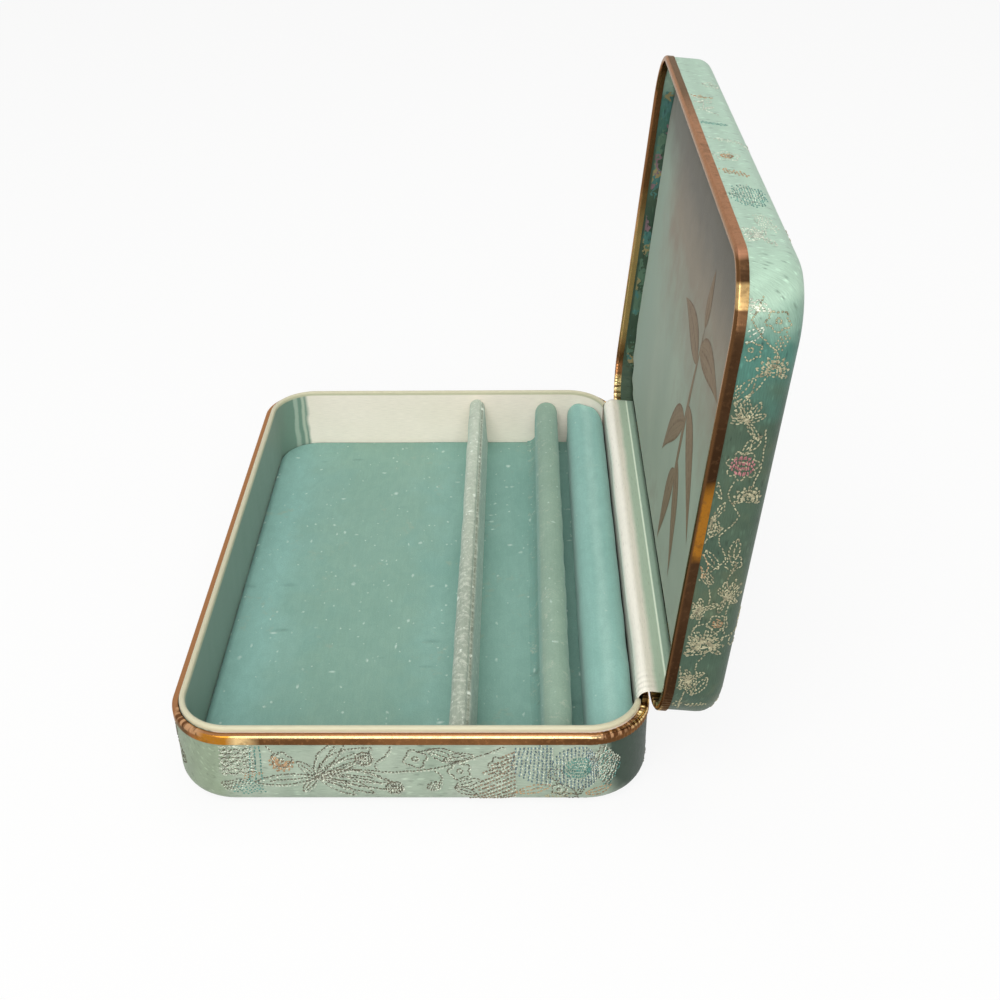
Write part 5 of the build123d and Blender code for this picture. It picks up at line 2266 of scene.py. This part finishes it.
def stand(name: str, data: bpy.types.ID, sides: tuple[np.ndarray, ...], place: Triple) -> Piece:
    """Puts data into the scene as an object.

    Args:
        name: the object's name.
        data: a camera or a lamp.
        sides: the ways that its x, y and z point.
        place: where it stands.

    Returns:
        The object.
    """
    placed = bpy.data.objects.new(name, data)
    matrix = np.eye(4)
    matrix[:3] = np.stack((*sides, place), axis=-1)
    placed.matrix_world = Matrix(matrix.tolist())
    bpy.context.scene.collection.objects.link(placed)
    return placed


@dataclass(frozen=True)
class Lamp:
    """A square area lamp aimed at the middle of the case."""

    name: str
    place: Triple
    size: float
    watts: float
    colour: Colour = (1.0, 1.0, 1.0)
    target: Triple = (0.0, 0.0, 30 * MM)

    def build(self) -> None:
        """Hangs the lamp, its back turned away from its target."""
        data = bpy.data.lights.new(self.name, "AREA")
        data.size, data.energy, data.color = self.size, self.watts, self.colour
        back = np.array(self.place) - np.array(self.target)
        back /= np.linalg.norm(back)
        right = np.cross((0.0, 1.0, 0.01), back)
        right /= np.linalg.norm(right)
        stand(self.name, data, (right, np.cross(back, right), back), self.place)


@dataclass
class Studio:
    """Pale floor, soft lamps and the camera at the photograph's viewing angle."""

    lens: float = 48.865
    position: Triple = (27.54 * MM, -332.17 * MM, 241.68 * MM)
    azimuth: float = 1.046
    elevation: float = 32.088
    roll: float = -0.722
    sensor: float = 36.0
    clip: Pair = (0.01, 20.0)
    floor_half: float = 3.0
    floor_colour: Colour = (0.86, 0.86, 0.85)
    floor_roughness: float = 0.9
    background: float = 0.88
    ambient: float = 0.42
    lamps: tuple[Lamp, ...] = (
        Lamp("key_lamp", (-0.15, -0.55, 0.85), size=0.55, watts=3.8, colour=(1.0, 0.985, 0.96)),
        Lamp("top_lamp", (0.10, 0.25, 0.95), size=0.6, watts=2.0),
        Lamp("front_lamp", (0.06, -1.0, 0.46), size=0.5, watts=4.6, colour=(1.0, 0.99, 0.97)),
    )

    def camera(self) -> None:
        """Aims the camera: back is its azimuth and elevation, and the roll turns its sides."""
        azimuth, elevation, roll = (math.radians(a) for a in (self.azimuth, self.elevation, self.roll))
        level = math.cos(elevation)
        back = np.array((math.sin(azimuth) * level, -math.cos(azimuth) * level, math.sin(elevation)))
        right = np.cross(-back, (0.0, 0.0, 1.0))
        right /= np.linalg.norm(right)
        up = np.cross(right, -back)
        cos, sin = math.cos(roll), math.sin(roll)
        right, up = cos * right + sin * up, -sin * right + cos * up
        data = bpy.data.cameras.new("studio_camera")
        data.lens, data.sensor_width, data.sensor_fit = self.lens, self.sensor, "HORIZONTAL"
        data.clip_start, data.clip_end = self.clip
        bpy.context.scene.camera = stand("studio_camera", data, (right, up, back), self.position)

    def seen_directly(self, wire: Wiring) -> Socket:
        """One for rays from the camera, or off metal or through glass."""
        path = wire.node("LightPath")
        seen = wire.math("MAXIMUM", path.outputs["Is Camera Ray"], path.outputs["Is Glossy Ray"])
        return wire.math("MAXIMUM", seen, path.outputs["Is Transmission Ray"])

    def world(self) -> None:
        """Even light on the object, and plain white where the camera sees past the floor."""
        world = bpy.data.worlds.new("studio_world")
        world.use_nodes = True
        bpy.context.scene.world = world
        wire = Wiring(world.node_tree)
        ground = world.node_tree.nodes["Background"]
        wire.feed(ground.inputs["Color"], (1.0, 1.0, 1.0))
        seen = self.seen_directly(wire)
        wire.feed(ground.inputs["Strength"], wire.range(seen, 0.0, 1.0, self.ambient, 1.0))

    def floor(self) -> None:
        """A wide pale floor that shows nearly white and keeps a soft shadow."""
        half = self.floor_half
        corners = np.array(((-half, -half, 0.0), (half, -half, 0.0), (half, half, 0.0), (-half, half, 0.0)))
        floor = mesh_object("studio_floor", corners, [(0, 1, 2, 3)])
        material, wire, shader = new_material("studio_floor")
        wire.feed_all(shader, {"Base Color": self.floor_colour, "Roughness": self.floor_roughness})
        glow = wire.node("Emission", {"Color": (1.0, 1.0, 1.0), "Strength": 1.0})
        share = wire.math("MULTIPLY", self.seen_directly(wire), self.background)
        both = wire.node("MixShader", {0: share, 1: shader.outputs[0], 2: glow.outputs[0]})
        wire.feed(material.node_tree.nodes["Material Output"].inputs["Surface"], both.outputs[0])
        floor.data.materials.append(material)

    def build(self) -> None:
        """Camera, floor, world and lamps."""
        self.camera()
        self.floor()
        self.world()
        for lamp in self.lamps:
            lamp.build()
        bpy.context.scene.view_settings.view_transform = "Standard"


@dataclass
class KeepsakeCase:
    """The whole case: its two covered halves, what lies in them and the hinge between."""

    hinge: Hinge
    nodes: dict[str, Piece]
    effects: Effects = field(default_factory=Effects)

    def cover_halves(self, base: Half, lid: Half) -> None:
        """Brocade and its figures over both halves."""
        mint = BrocadeFinish(
            "base_brocade_ground",
            light=(0.345, 0.41, 0.33),
            deep=(0.27, 0.34, 0.265),
            faded=(0.40, 0.435, 0.37),
            fading=0.55,
            # The tints are painted shade: the cover greyer and darker towards the left wall, and far darker
            # towards the hinge-side wall, the two sides that the light falls on least.
            tints=(
                Tint(Place.CLOTH_X, (0.22, 0.28, 0.19), (-38.0, -49.0), wander=4.0, share=0.9),
                Tint(Place.CLOTH_X, (0.028, 0.050, 0.034), (48.5, 54.5), wander=1.5),
            ),
        )
        # The lid's ground is the base's brocade painted much darker: painted shade. Its tints paint the
        # near wall lighter towards the free side and the free wall lightest, a painted sheen where the
        # light falls from above.
        green = BrocadeFinish(
            "lid_brocade_ground",
            light=(0.062, 0.098, 0.062),
            deep=(0.042, 0.078, 0.052),
            faded=(0.10, 0.115, 0.06),
            fading=0.52,
            tints=(
                Tint(Place.CLOTH_X, (0.060, 0.165, 0.130), (-26.0, -40.0), wander=5.0),
                Tint(Place.CLOTH_X, (0.36, 0.51, 0.40), (-44.0, -55.0), wander=3.0),
            ),
            blocks_past=104.6,
        )
        BrocadeCover(base, Body.BASE, turn_in=8.0 * MM).build(mint.make(self.effects))
        BrocadeCover(lid, Body.LID, turn_in=7.0 * MM).build(green.make(self.effects))
        BasePattern(Drape(base), Body.BASE, face_relief_share=0.2).build()
        LidPattern(Drape(lid), Body.LID).build()

    def edge_halves(self, base: Half, lid: Half) -> None:
        """Brass rims of both halves."""
        # Every colour and tint of both rims below is painted reflection: darker where the brass reflects
        # the room, and copper, orange and gold patches for brighter reflections, set by place round the
        # rim. The hollows and crests are painted shade and painted highlights of folds at the corners.
        orange, crinkled = (0.46, 0.19, 0.022), (0.52, 0.33, 0.14)
        copper_reflection = Tint(Place.X, (0.34, 0.135, 0.055), (-47.0, -52.0), share=0.92)
        reflection_patches = Tint(Place.X, orange, (-51.5, -49.0), (-43.2, -40.6), wander=1.2)
        gold = Tint(Place.X, (0.68, 0.46, 0.20), (-43.4, -40.8), (-39.2, -35.0), wander=1.2)
        gathers = ((-48.5, -50.5), (-56.6, -57.4)), ((45.5, 47.5), None)
        base_brass = RimFinish(
            "base_rim_brass",
            flange=(0.23, 0.105, 0.040),
            dark_reflection=(0.13, 0.058, 0.022),
            lit_edge=(0.50, 0.37, 0.19),
            inner=(0.36, 0.17, 0.075),
            mouth=(2.5, 2.7),
            tints=(
                copper_reflection,
                reflection_patches,
                gold,
                Tint(Place.X, (0.24, 0.10, 0.04), (46.0, 47.5)),
                Tint(Place.X, crinkled, (54.0, 56.5)),
            ),
            flange_tints=(
                copper_reflection,
                reflection_patches,
                Tint(Place.X, (0.88, 0.62, 0.29), gold.rise, gold.fall),
                Tint(Place.X, (0.05, 0.03, 0.015), (-57.4, -56.4), (-53.6, -52.2), share=0.9, wander=0.8),
            ),
            hollows=tuple(Tint(Place.X, (0.10, 0.04, 0.015), *span, share=0.8) for span in gathers),
            crests=(
                *(Tint(Place.X, (0.62, 0.36, 0.19), *span, share=0.75) for span in gathers),
                Tint(Place.X, (0.85, 0.62, 0.28), (53.5, 55.5)),
            ),
        )
        # The lid's rim is painted far darker than the base's, a painted dark reflection, with painted
        # highlights at its near corner, along its free side and on the crinkles by the hinge, and a painted
        # highlight line along its inner flange.
        gold_corner = Tint(Place.Z, (0.50, 0.33, 0.14), (131.4, 132.0), (135.7, 136.3), wander=0.3)
        free_side = Tint(Place.Z, (0.34, 0.165, 0.095), (138.8, 139.7))
        near_hinge = (31.0, 28.5)
        lid_brass = RimFinish(
            "lid_rim_brass",
            flange=(0.070, 0.036, 0.017),
            dark_reflection=(0.045, 0.022, 0.010),
            lit_edge=(0.13, 0.062, 0.024),
            tints=(gold_corner, free_side, Tint(Place.Z, crinkled, near_hinge)),
            flange_tints=(
                Tint(Place.Z, orange, (71.5, 75.0), (88.0, 94.0), share=0.75, wander=2.5),
                gold_corner,
                free_side,
                Tint(Place.Y, (0.07, 0.035, 0.016), (10.0, 34.0), wander=4.0),
            ),
            inner_tints=(
                Tint(Place.Z, (0.70, 0.52, 0.22), near_hinge),
                Tint(Place.Z, (0.85, 0.52, 0.22), (38.0, 46.0), (78.0, 96.0), share=0.75, wander=3.0),
            ),
            hollows=(Tint(Place.Z, (0.16, 0.08, 0.03), near_hinge, share=0.8),),
            crests=(Tint(Place.Z, (1.0, 0.78, 0.38), near_hinge),),
        )
        BrassRim(base, Body.BASE).build(base_brass.make(self.effects))
        BrassRim(lid, Body.LID).build(lid_brass.make(self.effects))

    def line_the_base(self, base: Half) -> None:
        """Satin wall and velvet floor."""
        ivory = SatinFinish(
            "ivory_wall_satin",
            light=(1.0, 0.90, 0.80),
            deep=(0.95, 0.86, 0.75),
            stain=(0.86, 0.72, 0.58),
            stained=0.58,
            # The first three tints are painted shade and painted reflection: dark sage over the left wall
            # and its corners, where the wall is in shade and reflects the teal velvet, with two paler
            # streaks of painted sheen in the corners. The last makes the top of the lip darker and
            # yellower.
            tints=(
                Tint(Place.X, (0.20, 0.31, 0.25), (-46.2, -47.4), wander=0.5),
                Tint(Place.X, (0.58, 0.64, 0.52), (-47.4, -48.0), (-48.4, -48.9), share=0.8, wander=0.3),
                Tint(Place.X, (0.50, 0.60, 0.50), (-49.6, -50.2), (-51.0, -51.4), share=0.7, wander=0.3),
                Tint(Place.Z, (0.60, 0.57, 0.40), (22.5, 22.9)),
            ),
        )
        WallLining(base).build(ivory.make(self.effects))
        teal = VelvetFinish(
            "teal_floor_velvet",
            light=(0.25, 0.44, 0.375),
            deep=(0.215, 0.40, 0.34),
            worn=(0.30, 0.40, 0.31),
            wear=0.60,
            lint_share=0.28,
            # The first tint is a worn patch. The second lightens the floor along the left wall, and the
            # third is painted shade along the foot of that wall.
            tints=(
                Tint(Place.X, (0.245, 0.40, 0.31), (-42.0, -28.0), (-8.0, 4.0), share=0.7, wander=6.0),
                Tint(Place.X, (0.27, 0.50, 0.45), (-41.0, -47.0), share=0.8, wander=2.0),
                Tint(Place.X, (0.10, 0.22, 0.19), (-53.8, -55.2), share=0.85),
            ),
        )
        VelvetFloor(base).build(teal.make(self.effects))

    def stand_the_rolls(self) -> None:
        """Divider and ring rolls on the floor of the base."""
        worn = VelvetFinish(
            "worn_divider_velvet",
            light=(0.56, 0.63, 0.51),
            deep=(0.45, 0.52, 0.42),
            worn=(0.66, 0.70, 0.60),
            wear=0.49,
            lint_share=0.9,
            wear_scale=0.7,
            lint_colour=(0.80, 0.86, 0.76),
            lint_gain=2.2,
            tints=(
                Tint(Place.Y, (0.30, 0.35, 0.28), (30.0, -30.0), share=0.95),
                Tint(Place.X, (0.13, 0.15, 0.10), (13.95, 14.15), (14.5, 14.7), share=0.85),
                Tint(Place.X, (0.42, 0.50, 0.43), (14.65, 14.9), share=0.8),
            ),
        )
        grey = VelvetFinish(
            "grey_roll_velvet",
            light=(0.31, 0.44, 0.34),
            deep=(0.255, 0.385, 0.30),
            worn=(0.46, 0.53, 0.43),
            wear=0.56,
            lint_share=0.4,
            wear_scale=0.3,
            tints=(Tint(Place.X, (0.20, 0.40, 0.35), (33.4, 32.4)),),
        )
        smooth = VelvetFinish(
            "teal_roll_velvet",
            light=(0.30, 0.54, 0.48),
            deep=(0.265, 0.50, 0.44),
            worn=(0.33, 0.54, 0.47),
            wear=0.60,
            lint_share=0.07,
            # The tint is a painted highlight: a lighter band along the roll's crest.
            tints=(Tint(Place.X, (0.38, 0.62, 0.55), (47.6, 49.2), (50.2, 51.8), share=0.85, wander=0.4),),
        )
        divider = VelvetRoll(
            "divider_roll",
            "divider",
            x=12.4 * MM,
            width=5.4 * MM,
            top=21.6 * MM,
            foot=0.8 * MM,
            crease=0.55 * MM,
            seed=3,
        )
        inner = VelvetRoll(
            "inner_roll",
            "inner_ring_roll",
            x=36.3 * MM,
            width=7.8 * MM,
            top=20.2 * MM,
            hem=2.6 * MM,
            seed=7,
        )
        outer = VelvetRoll(
            "outer_roll",
            "outer_ring_roll",
            x=49.6 * MM,
            width=11.9 * MM,
            top=20.1 * MM,
            radii=(5.0 * MM, 3.6 * MM),
            lump=0.07 * MM,
            seed=12,
        )
        for roll, velvet in ((divider, worn), (inner, grey), (outer, smooth)):
            roll.build(velvet.make(self.effects))

    def line_the_lid(self, lid: Half) -> None:
        """The padded card and the sprig printed on it."""
        sage = SatinFinish(
            "sage_pad_satin",
            light=(0.28, 0.36, 0.265),
            deep=(0.24, 0.32, 0.235),
            stain=(0.20, 0.19, 0.13),
            stained=0.56,
            rib=0.6,
            roughness=0.6,
            # The first and third tints are painted shade: the pad brown-grey over its upper part and dark
            # near its top, where it is turned from the light. The second makes its far part greener. The
            # last is a painted highlight along the pad's lower edge by the hinge.
            tints=(
                Tint(Place.CLOTH_X, (0.205, 0.165, 0.105), (4.0, -26.0), wander=6.0),
                Tint(Place.CLOTH_Y, (0.22, 0.33, 0.245), (30.0, 62.0), share=0.9, wander=4.0),
                Tint(Place.CLOTH_X, (0.070, 0.064, 0.042), (-28.0, -43.0), share=0.85, wander=2.0),
                Tint(Place.CLOTH_X, (0.62, 0.74, 0.58), (53.9, 54.3), (55.2, 55.5), share=0.9),
            ),
        )
        pad = LidPad(lid).build(sage.make(self.effects))
        ink = PrintFinish("brown_gold_print", ink=(0.13, 0.075, 0.035), ground=(0.24, 0.175, 0.105))
        PrintedSprig(lid, pad).build(ink.make(self.effects))

    def join_the_halves(self) -> None:
        """The gusset over the hinge line."""
        cream = SatinFinish(
            "cream_gusset_satin",
            light=(1.0, 0.97, 0.85),
            deep=(0.96, 0.93, 0.81),
            stain=(0.84, 0.82, 0.68),
            stained=0.62,
            roughness=0.32,
            gloss=0.9,
            # The tints paint light and shade across the strip: painted shade on the drop behind the roll, a
            # darker beige where the arc turns towards the lid, sage as painted shade where it lies in the
            # lid, a painted highlight line at the pad's edge, and painted shade beyond it under the pad.
            tints=(
                Tint(Place.CLOTH_Y, (0.45, 0.41, 0.33), (9.6, 8.8), share=0.85),
                Tint(Place.CLOTH_Y, (0.82, 0.78, 0.66), (12.4, 13.2)),
                Tint(Place.CLOTH_Y, (0.44, 0.56, 0.42), (14.4, 15.6), wander=0.15),
                Tint(Place.CLOTH_Y, (0.86, 0.97, 0.80), (17.4, 17.6), (17.9, 18.1)),
                Tint(Place.CLOTH_Y, (0.30, 0.42, 0.33), (17.9, 18.2)),
            ),
        )
        Gusset(self.hinge).build(cream.make(self.effects))

    def dress_the_nodes(self) -> None:
        """Finishes for the CAD objects that stay: hinges, springs and rivets, the rest board."""
        finishes = {
            "hinge_leaf": MetalFinish("hinge_brass", (0.72, 0.48, 0.22), (0.30, 0.17, 0.08), 0.48, 0.25),
            "pin": MetalFinish("pin_steel", (0.55, 0.54, 0.52), (0.22, 0.18, 0.15), 0.54, 0.3),
            "spring": MetalFinish("spring_steel", (0.42, 0.43, 0.45), (0.20, 0.16, 0.13), 0.54, 0.3),
            "rivets": MetalFinish("rivet_brass", (0.75, 0.52, 0.26), (0.32, 0.19, 0.09), 0.5, 0.28),
        }
        board = BoardFinish("pressed_board").make(self.effects)
        made = {word: finish.make(self.effects) for word, finish in finishes.items()}
        for name, node in self.nodes.items():
            found = [material for word, material in made.items() if word in name]
            node.data.materials.clear()
            node.data.materials.append(found[0] if found else board)
            LOG.info("%s: %s", name, node.data.materials[0].name)

    def build(self) -> None:
        """Builds every piece in order."""
        base, lid = self.hinge.halves()
        self.cover_halves(base, lid)
        self.edge_halves(base, lid)
        self.line_the_base(base)
        self.stand_the_rolls()
        self.line_the_lid(lid)
        self.join_the_halves()
        self.dress_the_nodes()


def main() -> None:
    """Loads the frame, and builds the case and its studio."""
    logging.basicConfig(level=logging.INFO, format="%(name)s: %(message)s")
    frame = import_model()
    Studio().build()
    KeepsakeCase(Hinge.read(frame["joints"][0]), frame["nodes"]).build()


if __name__ == "__main__":
    main()
